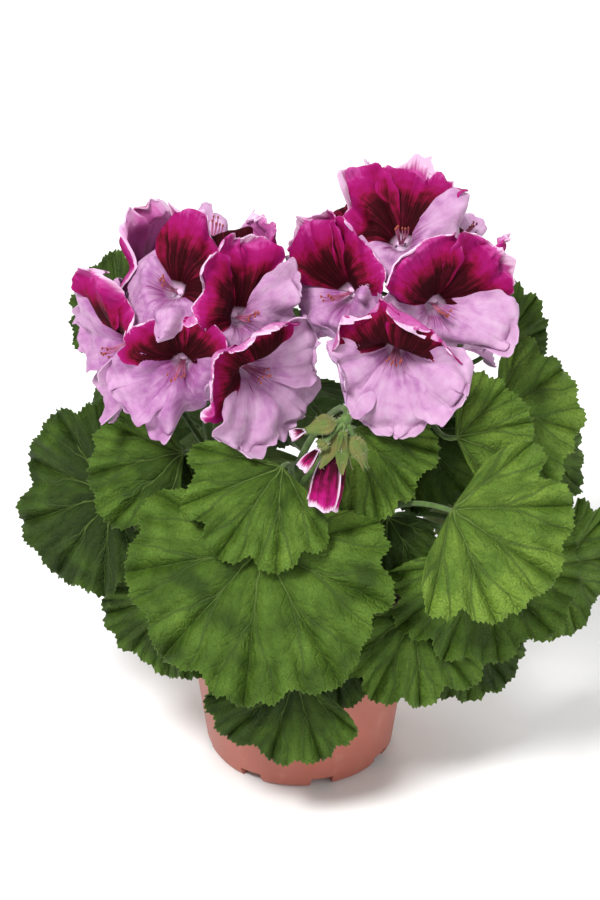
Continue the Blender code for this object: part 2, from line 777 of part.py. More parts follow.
def sepal(bud, number, collection):
    """A pointed green blade that lies over the petals of a bud."""
    start, way = bud_line(bud)
    across = downhill(way)
    other = way.cross(across)
    turn = 2 * math.pi * (number + 0.25) / 5
    out = across * math.cos(turn) + other * math.sin(turn)
    side = way.cross(out)
    flat = ((1.2, 2), (2.6, 9), (0.4, 17), (-0.4, 17), (-2.6, 9), (-1.2, 2))
    away = {2: 1.7, 9: bud.sepals + 1.4, 17: bud.sepals + 4.6}
    spots = [Vector(spot) for spot in flat]
    points = [start + way * y + side * x + out * away[y] for x, y in flat]
    faces = flat_faces(spots, len(spots))
    return thick_sheet("sepal", points, faces, PETAL_THICK, collection)


def bud_parts(collection):
    """Stalk, sepals and closed buds of the nodding bunch in front."""
    hub = Vector(BUD_HUB)
    stem = stem_named("front")
    start = stem_place(stem, stem.top - 4)
    path = [(start, Vector((6, -2, 24))), (hub, Vector((-2, -14, -8)))]
    parts = [tube("bud_stalk", path, (1.7, 1.3), collection, 5, 1)]
    parts.append(ball("bud_hub", hub, 2.6, collection))
    for bud in BUDS:
        start, way = bud_line(bud)
        path = [(hub + way * 0.7, way * 2), (start + way, way * 2)]
        parts.append(tube("bud_stalklet", path, (1.0, 1.1), collection, 1, 0))
        if bud.sepals:
            parts += [sepal(bud, number, collection) for number in range(5)]
        profile = [
            (0, 0.9),
            (bud.calyx * 0.3, bud.radius),
            (bud.calyx * 0.65, bud.radius * 0.85),
            (bud.calyx, 1.6 if bud.petals else 0.4),
        ]
        parts.append(lathed("bud_calyx", start, way, profile, 5, collection))
    return parts


def make_bud_petals(bud, material, collection):
    start, way = bud_line(bud)
    start = start + way * (bud.calyx + GAP + 0.1)
    reach = bud.petals
    wide = bud.petal_radius
    profile = [
        (0, 1.4),
        (reach * 0.3, wide * 0.55),
        (reach * 0.65, wide * 0.92),
        (reach, wide),
        (reach - 1.0, wide * 0.75),
        (reach * 0.8, wide * 0.3),
    ]
    petals = lathed("petals", start, way, profile, 8, collection, 0.8)
    finished(petals, f"bud_petals_{bud.name}", material)


def build():
    clear_scene()
    plant = collection_named("flowering_pot_plant")
    workshop = collection_named("workshop", hidden=True)
    materials = {
        name: material_named(name, *look) for name, look in COLOURS.items()
    }
    make_pot(materials["pot"], plant, workshop)
    make_compost(materials["compost"], plant, workshop)
    for stem in STEMS:
        pieces = [stem_tube(stem, plant)]
        for leaf in LEAVES:
            if leaf.shoot == stem.name:
                pieces.append(petiole(leaf, plant))
                pieces.append(blade(leaf, plant))
        for head in HEADS:
            if head.shoot == stem.name:
                pieces.append(head_stalk(head, plant))
                for bloom in BLOOMS:
                    if bloom.head == head.name:
                        pieces.append(pedicel(bloom, plant))
                        pieces.append(calyx(bloom, plant))
        if stem.name == "front":
            pieces += bud_parts(plant)
        fuse(pieces, f"shoot_{stem.name}", materials["green"], plant, workshop)
    for bloom in BLOOMS:
        make_bloom(bloom, materials, plant, workshop)
    for bud in BUDS:
        if bud.petals:
            make_bud_petals(bud, materials["dark"], plant)


build()
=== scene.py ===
"""Flowering regal pelargonium in its nursery pot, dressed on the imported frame.

Lengths in the tables are millimetres, as in the solids; every mesh is in metres.
"""

import math
from collections import namedtuple

import bmesh
import bpy
import numpy as np
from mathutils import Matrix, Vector


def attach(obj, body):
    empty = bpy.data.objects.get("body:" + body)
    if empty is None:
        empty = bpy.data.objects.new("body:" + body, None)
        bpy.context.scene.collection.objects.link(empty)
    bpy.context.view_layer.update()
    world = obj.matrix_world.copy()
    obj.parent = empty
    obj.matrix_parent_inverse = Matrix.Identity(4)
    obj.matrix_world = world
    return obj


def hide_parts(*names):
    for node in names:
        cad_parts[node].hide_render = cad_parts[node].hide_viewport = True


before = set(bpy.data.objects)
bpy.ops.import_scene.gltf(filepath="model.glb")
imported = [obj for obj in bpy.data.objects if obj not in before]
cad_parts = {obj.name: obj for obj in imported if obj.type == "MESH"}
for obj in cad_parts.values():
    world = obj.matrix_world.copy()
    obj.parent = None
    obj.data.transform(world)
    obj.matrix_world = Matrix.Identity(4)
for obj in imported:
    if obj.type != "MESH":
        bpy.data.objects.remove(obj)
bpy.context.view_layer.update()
bpy.ops.object.select_all(action="DESELECT")

MM = 0.001

# Pot
POT_HEIGHT = 100.0
POT_FOOT = 45.0
POT_TAPER = 0.13
POT_WALL = 1.6
POT_RIM_OUT = 2.2
POT_RIM_DEPTH = 9.0
POT_FLOOR = 5.0
POT_SIDES = 120
FOOT_ROUND = 4.0
EDGE_BEVEL = 0.45
DRAIN_COUNT = 8
DRAIN_TURN = 0.3
DRAIN_WIDTH = 11.0
DRAIN_HEIGHT = 6.0
DRAIN_DEPTH = 16.0

# Compost
COMPOST_TOP = 87.0
COMPOST_DOME = 3.0
COMPOST_SIDES = 110
FLOOR_GAP = 0.3
WALL_GAP = 0.5
DOME_RINGS = 24
DOME_EDGE = 54.5
DOME_STEP = 2.2
DOME_ARC = 0.065
CRUMB_SIZE = 5.0
CRUMB_HEIGHT = 2.4
HOLE_DEPTH = 22.0
HOLE_ABOVE = 10.0
HOLE_CLEAR = 0.8

# Plant
STEM_RADIUS = 3.4
PETIOLE_RADIUS = 1.35
PEDICEL_RADIUS = 1.0
STALK_RADIUS = 2.0
BLADE_THICK = 0.6
BLADE_ROWS = 16
TOOTH_PITCH = 2.3
TOOTH_HEIGHT = 1.1
LEAF_APART = 300.0

# Outline of a blade: how much shorter its sides and its base are, and its
# notches between and within lobes (least depth, further depth, width in lobes)
SIDES_SHORTER = 0.14
BASE_ROUNDING = 0.42
LOBE_NOTCH = (0.07, 0.09, 0.17)
FINE_NOTCH = (0.015, 0.03, 0.07)
WEAR_NOTCH = 0.10

# Relief of a blade, as shares of its length
STALK_DIMPLE = 0.035
DIMPLE_REACH = 0.16
LOBE_FOLD = 0.11
VEIN_PLEAT = 0.055
SIDE_LIFT = 0.10
MARGIN_SWEEP = 0.045
MARGIN_RIPPLE = 0.012

# Petals and calyx
PETAL_THICK = 0.6
PETAL_COLUMNS = 40
PETAL_ROWS = 42
CALYX_LENGTH = 9.0
STAMENS = 7
HAIR_COUNT = 24
HAIR_LENGTH = 1.4
HAIR_FOOT = 0.06
HAIR_TIP = 0.02

# Relief of a petal in mm, and how far from its edge the waves and crimps reach
RUFFLE = 2.9
CREASE_LEAST = 1.2
CREASE_MORE = 2.4
EDGE_WAVE = 2.1
WAVE_REACH = 6.5
EDGE_CRIMP = 0.9
CRIMP_REACH = 2.6

# Petals, in the order upper left, upper right, lower left, lowest, lower right
UPPER_HUB = (1.3, 0.0, 2.0)
LOWER_HUB = (-0.6, -1.6, 2.7)
CLAW_START = 2.3
PETAL_LIFTS = (60.0, 60.0, 64.0, 54.0, 64.0)
PETAL_CURLS = (-20.0, -20.0, -9.0, -14.0, -9.0)
PETAL_ANGLES = (-38.0, 38.0, -114.0, 180.0, 114.0)
PETAL_LENGTHS = (37.0, 37.0, 38.0, 38.5, 38.0)
PETAL_WIDTHS = (19.5, 19.5, 18.0, 16.5, 18.0)
PETAL_LAYERS = (0.0, -1.2, -1.0, 1.2, 0.1)
PETAL_BROADEST = 0.72

# How the blooms of a head share its room: how soft and how wavy the walls
# between them are, how far petals reach past a wall, over or below the next
# ones, and the round surface on which they lie over each other
CELL_SOFT = 2.4
CELL_WAVE = 3.0
OVERLAP_UPPER = 6.0
OVERLAP_LOWER = 12.0
OVERLAP_BELOW = 4.0
HEAD_BULGE = 11.0
SIDE_RANK = 0.35
WIDEST_NEIGHBOUR = 130.0
LAYER_RADIUS = 44.0
LAYER_SOFT = 1.5
LAYER_EASE = 8.0
OVER_RISE = 1.8
UNDER_SINK = 3.2

Stem = namedtuple("Stem", "name foot top lean")
Leaf = namedtuple(
    "Leaf", "name shoot at face rise turn reach spread droop height age sway", defaults=(0.0, 0)
)
Head = namedtuple("Head", "name shoot centre foot")
Bloom = namedtuple("Bloom", "head number face rise tilt roll out size weight")
Bud = namedtuple("Bud", "name way stalk calyx radius petals petal_radius sepals")

STEMS = (
    Stem("front", (0, -14), 168, (-2, -24)),
    Stem("left", (-20, -3), 190, (-44, -6)),
    Stem("right", (21, -3), 200, (46, 2)),
    Stem("back_left", (-13, 20), 178, (-34, 40)),
    Stem("back_right", (15, 21), 178, (34, 42)),
)

# name, shoot, where the stalk meets the blade, facing azimuth (0 is -Y, + is
# to +X), how far up it faces, turn of the midrib from downhill, length of the
# blade, half its fan angle, droop, stalk height on the stem, how much deeper
# its green is drawn (partly the deeper green of age, partly painted shade on
# leaves that lie in shade; below 0 it is younger than most), stalk sway
LEAVES = (
    Leaf("front_big", "front", (-17, -67, 150), -6, 34, -4, 67, 128, 0.10, 128),
    Leaf("front_upper", "front", (-8, -56, 186), -6, 33, -33, 47, 82, 0.04, 150, 0.2),
    Leaf("front_right", "front", (25, -37, 195), 12, 36, 38, 41, 74, 0.08, 155, -0.3),
    Leaf("front_hang", "front", (-3, -73, 86), -6, 12, -12, 47, 72, 0.06, 122, 1.0),
    Leaf("front_hang_right", "front", (14, -63, 98), 14, 10, 34, 38, 70, 0.08, 126, 1.2),
    Leaf("front_low_right", "right", (52, -55, 108), 14, 22, 2, 46, 110, 0.12, 112),
    Leaf("left_upper", "left", (-53, -33, 180), -20, 34, -68, 46, 78, 0.06, 150, 0.6),
    # left_big is drawn the deepest green of all, which is painted shade
    Leaf("left_big", "left", (-87, -12, 145), -28, 24, -62, 52, 112, 0.12, 135, 2.2),
    Leaf("left_low", "left", (-56, -36, 105), -26, 18, -34, 43, 100, 0.10, 112, 1.0),
    Leaf("left_inner", "left", (-42, -34, 150), -16, 30, -56, 40, 104, 0.10, 130, 1.2),
    Leaf("left_high", "back_left", (-84, 38, 212), -36, 26, -115, 32, 92, 0.08, 160, 1.0),
    Leaf("left_side", "left", (-78, 10, 196), -62, 30, -30, 33, 98, 0.10, 160, 1.0),
    Leaf("right_big", "right", (67, -70, 172), 14, 36, 50, 55, 88, 0.05, 118, -0.9),
    Leaf("right_upper", "right", (70, -39, 191), 12, 36, 96, 35, 80, 0.04, 188, -1.1, -10),
    Leaf("right_side", "right", (90, -12, 190), 26, 36, 66, 44, 98, 0.08, 165, -0.3),
    Leaf("right_outer", "right", (110, 8, 158), 44, 28, 40, 36, 112, 0.12, 140),
    Leaf("right_far", "right", (121, -10, 106), 34, 18, 44, 38, 112, 0.12, 116),
    Leaf("right_low", "right", (83, -46, 130), 12, 24, 8, 50, 112, 0.12, 122),
    Leaf("right_inner", "right", (54, -4, 175), 4, 20, -4, 38, 96, 0.10, 160, 1.2),
    Leaf("right_under", "right", (78, -30, 84), 24, 12, 30, 40, 100, 0.10, 122, 1.2),
    Leaf("right_high", "back_right", (92, 40, 194), 30, 22, 150, 33, 100, 0.10, 160, 1.0),
    Leaf("back_left_side", "back_left", (-80, 50, 164), -125, 36, 0, 48, 106, 0.10, 138),
    Leaf("back_left_top", "back_left", (-34, 64, 196), -160, 46, 10, 46, 118, 0.12, 150),
    Leaf("back_left_low", "back_left", (-78, 36, 118), -112, 22, 0, 50, 112, 0.12, 114),
    Leaf("back_mid", "back_left", (-22, 82, 142), -168, 28, 0, 52, 118, 0.12, 120),
    Leaf("back_right_side", "back_right", (84, 50, 158), 122, 32, 0, 50, 114, 0.12, 130),
    Leaf("back_right_top", "back_right", (38, 66, 198), 158, 46, -8, 46, 118, 0.12, 150),
    Leaf("back_right_low", "back_right", (72, 58, 110), 128, 20, 0, 46, 112, 0.12, 112),
    Leaf("back_centre", "back_right", (2, 46, 172), 178, 52, 0, 34, 84, 0.08, 140, 1.2),
    Leaf("back_low", "back_right", (6, 88, 104), 178, 18, 4, 44, 110, 0.12, 112),
    # right_behind and front_deep fill dark gaps between the leaves; their deep green is painted
    # shade
    Leaf("right_behind", "back_right", (48, 18, 176), 2, 4, 0, 48, 96, 0.02, 150, 2.0),
    Leaf("front_deep", "front", (40, -40, 150), 10, 30, -10, 27, 92, 0.08, 140, 2.0),
)

HEADS = (
    Head("left", "left", (-45, -10, 232), (-44, -6, 190)),
    Head("right", "right", (46, 0, 245), (46, 2, 200)),
)

# head, number, azimuth and rise of its place on the head, how much further up
# it faces than it stands, roll, distance of the throat from the middle of the
# head, size (the sizes behind and on top are a little fuller than the solids,
# because the fine petals curl more), and its share of the room
BLOOMS = (
    Bloom("left", 1, -12, -2, 6, 0, 37, 1.0, 1.1),
    Bloom("left", 2, 40, -14, 20, 40, 38, 1.05, 1.4),
    Bloom("left", 3, 38, 30, 0, 20, 38, 1.0, 1.0),
    Bloom("left", 4, -30, 54, 0, -40, 37, 1.08, 1.0),
    Bloom("left", 5, 160, 66, 0, 0, 41, 1.15, 0.95),
    Bloom("left", 6, -68, -3, 0, -20, 38, 1.05, 1.0),
    Bloom("left", 7, -126, 18, 0, 0, 37, 1.08, 1.0),
    Bloom("left", 8, 116, 14, 0, 0, 38, 1.08, 1.0),
    Bloom("right", 1, -50, 16, 0, 10, 38, 1.06, 1.05),
    Bloom("right", 2, 24, 14, 0, -14, 38, 1.05, 1.15),
    Bloom("right", 3, -6, -24, 26, 0, 38, 1.05, 1.15),
    Bloom("right", 4, -6, 66, 0, 20, 38, 1.08, 1.0),
    Bloom("right", 5, -124, 28, 0, 0, 38, 1.12, 1.0),
    Bloom("right", 6, 176, 36, 0, 0, 38, 1.18, 1.0),
    Bloom("right", 7, 112, 40, 0, 0, 36, 1.0, 0.95),
    Bloom("right", 8, 84, -2, 0, 14, 36, 0.94, 0.95),
)

# How far the pale petals of some blooms are drawn deeper: partly a more violet tone, partly painted
# shade
DEEPENED_AND_SHADED = {("left", 1): 1.0, ("left", 4): 0.5, ("left", 6): 0.8, ("right", 1): 0.6}

# Blooms that lie over the one below them, against the rule
LAID_OVER = {("left", 4, 1)}

# name, way it hangs, stalk length, calyx length and radius, length and radius
# of the petals that show beyond it, and how far its sepals stand off its axis
BUD_HUB = (20, -68, 217)
BUDS = (
    Bud("open", (-0.24, -0.12, -0.95), 5, 4, 2.0, 33, 8.5, 5.0),
    Bud("dark", (-0.66, -0.34, -0.66), 13, 4, 2.0, 12, 3.3, 0),
    Bud("green", (-0.93, -0.20, -0.22), 4, 14, 4.2, 7, 2.8, 0),
    Bud("brown", (0.36, -0.24, -0.90), 8, 15, 3.4, 0, 0, 0),
)


# Small sums
def chance(seed):
    """A steady value from 0 to 1 for each seed."""
    value = math.sin(seed * 12.9898) * 43758.5453
    return value - math.floor(value)


def point(*values):
    return np.array(values, dtype=float)


def unit(vector):
    return vector / np.linalg.norm(vector)


def facing(azimuth, rise):
    turn = math.radians(azimuth)
    lift = math.radians(rise)
    flat = math.cos(lift)
    return point(math.sin(turn) * flat, -math.cos(turn) * flat, math.sin(lift))


def downhill(normal):
    down = point(0, 0, -1)
    return unit(down - normal * down.dot(normal))


def swing(first, second, degrees):
    angle = math.radians(degrees)
    return first * math.cos(angle) + second * math.sin(angle)


def angle_between(first, second):
    return math.acos(max(-1.0, min(1.0, float(first.dot(second)))))


# Materials
def paint(code):
    """A linear colour from its sRGB hex value."""
    parts = [int(code[start : start + 2], 16) / 255 for start in (1, 3, 5)]
    linear = [
        part / 12.92 if part <= 0.04045 else ((part + 0.055) / 1.055) ** 2.4
        for part in parts
    ]
    return (*linear, 1.0)


def node(tree, kind, *values, named=None, **settings):
    """Adds a shader node. Values go to its inputs in order, or by name; each is
    a constant, a node (its first live output) or a socket."""
    made = tree.nodes.new("ShaderNode" + kind)
    for key, value in settings.items():
        if key == "stops":
            stops = made.color_ramp.elements
            while len(stops) < len(value):
                stops.new(1.0)
            for stop, (place, colour) in zip(stops, value):
                stop.position = place
                stop.color = paint(colour)
        else:
            setattr(made, key, value)
    for key, value in [*enumerate(values), *(named or {}).items()]:
        if value is None:
            continue
        if isinstance(value, bpy.types.Node):
            value = next(output for output in value.outputs if output.enabled)
        if isinstance(value, bpy.types.NodeSocket):
            tree.links.new(value, made.inputs[key])
        else:
            made.inputs[key].default_value = value
    return made


# The two colours of a Mix node, by the number of their inputs
UNDER = 6
OVER = 7


def blank_material(name):
    """A material and its empty tree."""
    made = bpy.data.materials.new(name)
    made.use_nodes = True
    made.node_tree.nodes.clear()
    return made, made.node_tree


def speckled(name, scale, detail, stops):
    """Begins a material with noise laid over the piece's own place, scale cells
    to a metre, and a colour for each of its levels."""
    made, tree = blank_material(name)
    place = node(tree, "TexCoord").outputs["Object"]
    noise = node(tree, "TexNoise", place, named={"Scale": scale, "Detail": detail})
    return made, tree, place, noise, node(tree, "ValToRGB", noise, stops=stops)


def finished(made, colour, roughness, relief, rest=None):
    """Ends a material with its colour, its roughness, its relief (a height, how
    strong it shows and its depth in mm) and the rest of its settings. The wax
    of leaves and petals bends light at about 1.4."""
    tree = made.node_tree
    height, strength, depth = relief
    bump = node(tree, "Bump", named={"Strength": strength, "Distance": depth * MM, "Height": height})
    settings = {"Base Color": colour, "Roughness": roughness, "IOR": 1.4, "Normal": bump}
    finish = node(tree, "BsdfPrincipled", named={**settings, **(rest or {})})
    node(tree, "OutputMaterial", finish)
    return made


def leaf_veins(tree):
    """Masks of a pelargonium leaf: main veins, their forks, the grooves that
    all the veins lie in, and the swelling between them. The finest net of veins
    is drawn coarser than it is, so that it shows at the size of the picture.

    The fan attribute holds the angle counted in lobes, the distance from the
    stalk in mm and the width of a lobe in radians; the flat attribute holds
    flat places in mm and the distance to the margin.
    """
    soft = {"interpolation_type": "SMOOTHSTEP"}
    fan = node(tree, "SeparateXYZ", node(tree, "Attribute", attribute_name="fan"))
    flat_at = node(tree, "Attribute", attribute_name="flat")
    lobe, radius, width = fan.outputs
    edge = node(tree, "SeparateXYZ", flat_at).outputs[2]
    wander = node(tree, "TexNoise", flat_at, named={"Scale": 0.07, "Detail": 1.0})
    wander = node(tree, "MapRange", wander, 0.2, 0.8, -1.1, 1.1)
    local = node(tree, "Math", lobe, 0.5, operation="ADD")
    local = node(tree, "Math", local, operation="FRACT")
    local = node(tree, "Math", local, 0.5, operation="SUBTRACT")
    spread = node(tree, "Math", width, radius, operation="MULTIPLY")
    aside = node(tree, "Math", local, spread, wander, operation="MULTIPLY_ADD")
    side = node(tree, "Math", aside, operation="SIGN")
    aside = node(tree, "Math", aside, operation="ABSOLUTE")
    reach = node(tree, "Math", radius, edge, operation="ADD")
    share = node(tree, "Math", radius, reach, operation="DIVIDE")
    bend = node(tree, "MapRange", share, 0.26, 0.9, 0.0, 0.31, **soft)
    bend = node(tree, "Math", bend, spread, operation="MULTIPLY")
    beside = node(tree, "Math", aside, bend, operation="SUBTRACT")
    beside = node(tree, "Math", beside, operation="ABSOLUTE")
    half = node(tree, "MapRange", share, 0.0, 1.0, 0.85, 0.28)
    main = node(tree, "MapRange", aside, 0.0, half, 1.0, 0.0, **soft)
    slim = node(tree, "Math", half, 0.8, operation="MULTIPLY")
    fork = node(tree, "MapRange", beside, 0.0, slim, 1.0, 0.0, **soft)
    nearest = node(tree, "Math", aside, beside, operation="MINIMUM")
    stray = node(tree, "TexNoise", flat_at, named={"Scale": 0.16, "Detail": 1.0})
    stray = node(tree, "MapRange", stray, 0.25, 0.75, -4.0, 4.0)
    ladder = node(tree, "Math", nearest, -1.9, radius, operation="MULTIPLY_ADD")
    ladder = node(tree, "Math", side, 2.1, ladder, operation="MULTIPLY_ADD")
    ladder = node(tree, "Math", ladder, stray, operation="ADD")
    rung = node(tree, "Math", ladder, 4.6, operation="PINGPONG")
    branch = node(tree, "MapRange", rung, 0.0, 0.45, 0.5, 0.0, **soft)
    pillow = node(tree, "MapRange", nearest, 0.0, 4.2, **soft)
    small = node(tree, "MapRange", rung, 0.0, 2.2, **soft)
    pillow = node(tree, "Math", small, 0.3, pillow, operation="MULTIPLY_ADD")
    wide = node(tree, "Math", half, 2.4, operation="MULTIPLY")
    groove = node(tree, "MapRange", nearest, 0.0, wide, 1.0, 0.0, **soft)
    groove = node(tree, "Math", groove, branch, operation="MAXIMUM")
    return main, fork, groove, pillow, share, edge, flat_at


def leaf_material(name, greens, vein_pale, painted_groove_shade, rim, relief):
    """Pelargonium blade: soft hairy skin, so broad dull highlights, swollen
    between a sunken net of veins whose ribs run pale from the stalk. Painted
    shade darkens the grooves of the veins, and leaves that lie in shade are
    drawn a deeper green, also painted shade."""
    made, tree = blank_material(name)
    main, fork, groove, pillow, share, edge, flat_at = leaf_veins(tree)
    patch = node(tree, "TexNoise", flat_at, named={"Scale": 0.045, "Detail": 2.0})
    own = node(tree, "SeparateXYZ", flat_at)
    own = node(tree, "Math", own, LEAF_APART, operation="DIVIDE")
    own = node(tree, "Math", own, operation="FLOOR")
    own = node(tree, "TexWhiteNoise", named={"W": own}, noise_dimensions="1D")
    own = node(tree, "MapRange", own, 0.0, 1.0, -0.08, 0.08)
    # Deeper green for old leaves, and painted shade for leaves that lie in shade
    age = node(tree, "Attribute", attribute_name="age").outputs["Fac"]
    tint = node(tree, "MapRange", patch, 0.3, 0.7, 0.3, 0.8)
    outer = node(tree, "MapRange", share, 0.1, 1.0, -0.09, 0.07)
    for change in (own, outer):
        tint = node(tree, "Math", tint, change, operation="ADD")
    tint = node(tree, "Math", age, -0.2, tint, operation="MULTIPLY_ADD")
    colour = node(
        tree, "ValToRGB", tint,
        stops=tuple(zip((0.12, 0.34, 0.52, 0.74, 0.98), greens)),
    )
    mottle = node(tree, "TexNoise", flat_at, named={"Scale": 0.9, "Detail": 4.0})
    mottle = node(tree, "MapRange", mottle, 0.35, 0.68, 0.0, 0.5)
    # Painted shade in the grooves of the veins
    shade = node(tree, "Math", groove, 0.58, operation="MULTIPLY")
    fade = node(tree, "MapRange", share, 0.05, 0.9, 0.85, 0.35)
    rib = node(tree, "Math", fork, 0.5, operation="MULTIPLY")
    rib = node(tree, "Math", main, rib, operation="MAXIMUM")
    rib = node(tree, "Math", rib, fade, operation="MULTIPLY")
    band = node(tree, "MapRange", edge, 0.0, 0.8, 0.35, 0.0)
    for cover, tone in ((mottle, greens[1]), (shade, painted_groove_shade), (rib, vein_pale), (band, rim)):
        colour = node(tree, "Mix", cover, named={UNDER: colour, OVER: paint(tone)}, data_type="RGBA")
    skin = node(tree, "TexNoise", flat_at, named={"Scale": 1.3, "Detail": 4.0})
    height = node(tree, "Math", skin, 0.75, pillow, operation="MULTIPLY_ADD")
    return finished(made, colour, 0.6, (height, 0.8, relief), {"Specular IOR Level": 0.25})


def stem_material():
    """Soft hairy green stem, browner and woodier down by the compost."""
    made, tree, place, streak, colour = speckled(
        "pelargonium_stem", 240.0, 3.0, ((0.3, "#40592A"), (0.6, "#587436"), (0.8, "#6E8A46"))
    )
    high = node(tree, "SeparateXYZ", place).outputs[2]
    woody, young = ((COMPOST_TOP + rise) * MM for rise in (-2, 38))
    old = node(tree, "MapRange", high, woody, young, 0.8, 0.0)
    wood = {UNDER: colour, OVER: paint("#6D5636")}
    colour = node(tree, "Mix", old, named=wood, data_type="RGBA")
    return finished(made, colour, 0.6, (streak, 0.3, 0.3), {"Sheen Weight": 0.15})


def petal_streaks(tree):
    """Feathered rays of a petal: coarse and fine noise drawn out along it.

    The fan attribute holds the angle from the claw, the share of the length
    and a number of the petal's own; flat holds places in mm and the distance
    to the edge.
    """
    fan_at = node(tree, "Attribute", attribute_name="fan")
    fan = node(tree, "SeparateXYZ", fan_at)
    flat_at = node(tree, "Attribute", attribute_name="flat")
    flat = node(tree, "SeparateXYZ", flat_at)
    drawn = node(tree, "Mapping", fan_at, named={"Scale": (1.0, 0.055, 1.0)})
    coarse = node(tree, "TexNoise", drawn, named={"Scale": 9.0, "Detail": 2.0})
    fine = node(tree, "TexNoise", drawn, named={"Scale": 30.0, "Detail": 2.0})
    return fan.outputs, flat.outputs[2], coarse, fine, flat_at


def petal_skin(made, colour, fine, flat_at, roughness, specular, sheen):
    """Petal skin: fine lengthwise crinkles that catch a soft sheen."""
    tree = made.node_tree
    cloud = node(tree, "TexNoise", flat_at, named={"Scale": 0.5, "Detail": 2.0})
    rise = node(tree, "Math", fine, cloud, operation="ADD")
    rest = {"Specular IOR Level": specular, "Sheen Weight": sheen, "Sheen Roughness": 0.4}
    return finished(made, colour, roughness, (rise, 0.35, 0.7), rest)


def upper_petal_material(name, stops, edge_colour, vein_colour):
    """Upper petal: velvet near-black blotch that feathers through crimson to
    magenta, inside a thin pale edge."""
    made, tree = blank_material(name)
    fan, edge, coarse, fine, flat_at = petal_streaks(tree)
    blotch = node(tree, "Attribute", attribute_name="blotch").outputs["Fac"]
    cloud = node(tree, "TexNoise", flat_at, named={"Scale": 0.22, "Detail": 3.0})
    cloud = node(tree, "MapRange", cloud, 0.3, 0.7, -0.09, 0.09)
    reach = node(tree, "Math", blotch, cloud, operation="ADD")
    for feather in (coarse, fine):
        feather = node(tree, "MapRange", feather, 0.3, 0.7, -0.1, 0.1)
        reach = node(tree, "Math", reach, feather, operation="ADD")
    colour = node(tree, "ValToRGB", reach, stops=stops)
    ray = node(tree, "MapRange", fine, 0.5, 0.64, 0.0, 0.28)
    far = node(tree, "MapRange", blotch, 0.4, 0.8, 1.0, 0.2)
    ray = node(tree, "Math", ray, far, operation="MULTIPLY")
    ragged = node(tree, "MapRange", fine, 0.3, 0.7, -0.9, 0.9)
    away = node(tree, "Math", edge, ragged, operation="ADD")
    band = node(tree, "MapRange", away, 0.6, 3.1, 0.95, 0.0, interpolation_type="SMOOTHSTEP")
    throat = node(tree, "MapRange", fan[1], 0.02, 0.1, 0.8, 0.0)
    for cover, tone in ((ray, vein_colour), (band, edge_colour), (throat, edge_colour)):
        colour = node(tree, "Mix", cover, named={UNDER: colour, OVER: paint(tone)}, data_type="RGBA")
    return petal_skin(made, colour, fine, flat_at, 0.7, 0.06, 0.0)


def lower_petal_material(name, base, vein, streak, pale):
    """Lower petal: pale lilac pink with faint veins, and short dark streaks by
    the throat."""
    made, tree = blank_material(name)
    fan, edge, coarse, fine, flat_at = petal_streaks(tree)
    cloud = node(tree, "TexNoise", flat_at, named={"Scale": 0.16, "Detail": 3.0})
    outward = node(tree, "MapRange", fan[1], 0.1, 0.9, -0.2, 0.12)
    cloud = node(tree, "Math", cloud, outward, operation="ADD")
    drift = node(tree, "MapRange", coarse, 0.3, 0.7, -0.08, 0.08)
    cloud = node(tree, "Math", cloud, drift, operation="ADD")
    # Blooms drawn deeper: a more violet tone, partly painted shade
    age = node(tree, "Attribute", attribute_name="age").outputs["Fac"]
    cloud = node(tree, "Math", age, -0.22, cloud, operation="MULTIPLY_ADD")
    colour = node(
        tree, "ValToRGB", cloud, stops=((0.1, base[0]), (0.45, base[1]), (0.8, base[2]))
    )
    line = node(tree, "MapRange", coarse, 0.0, 1.0, -0.9, 0.9)
    line = node(tree, "Math", fan[0], 4.5, line, operation="MULTIPLY_ADD")
    line = node(tree, "Math", line, 0.5, operation="PINGPONG")
    line = node(tree, "MapRange", line, 0.0, 0.1, 0.28, 0.0)
    flush = node(tree, "MapRange", fan[1], 0.1, 0.42, 0.3, 0.0, interpolation_type="SMOOTHSTEP")
    fade = node(tree, "MapRange", fan[1], 0.12, 0.5, 0.15, -0.2)
    dark = node(tree, "Math", fine, fade, operation="ADD")
    dark = node(tree, "MapRange", dark, 0.6, 0.69, 0.0, 0.85)
    near = node(tree, "MapRange", fan[1], 0.05, 0.16, 0.0, 1.0)
    dark = node(tree, "Math", dark, near, operation="MULTIPLY")
    band = node(tree, "MapRange", edge, 0.2, 1.4, 0.55, 0.0)
    glow = node(tree, "MapRange", fan[1], 0.03, 0.14, 0.8, 0.0)
    covers = (line, flush, dark, band, glow)
    for cover, tone in zip(covers, (vein, streak, streak, pale, pale)):
        colour = node(tree, "Mix", cover, named={UNDER: colour, OVER: paint(tone)}, data_type="RGBA")
    return petal_skin(made, colour, fine, flat_at, 0.5, 0.25, 0.06)


def plain_skin(name, low, high, roughness, scale):
    """Small plant parts: two close tints in fine patches."""
    made, *_, patch, colour = speckled(name, scale, 3.0, ((0.35, low), (0.65, high)))
    return finished(made, colour, roughness, (patch, 0.3, 0.25), {"Sheen Weight": 0.15})


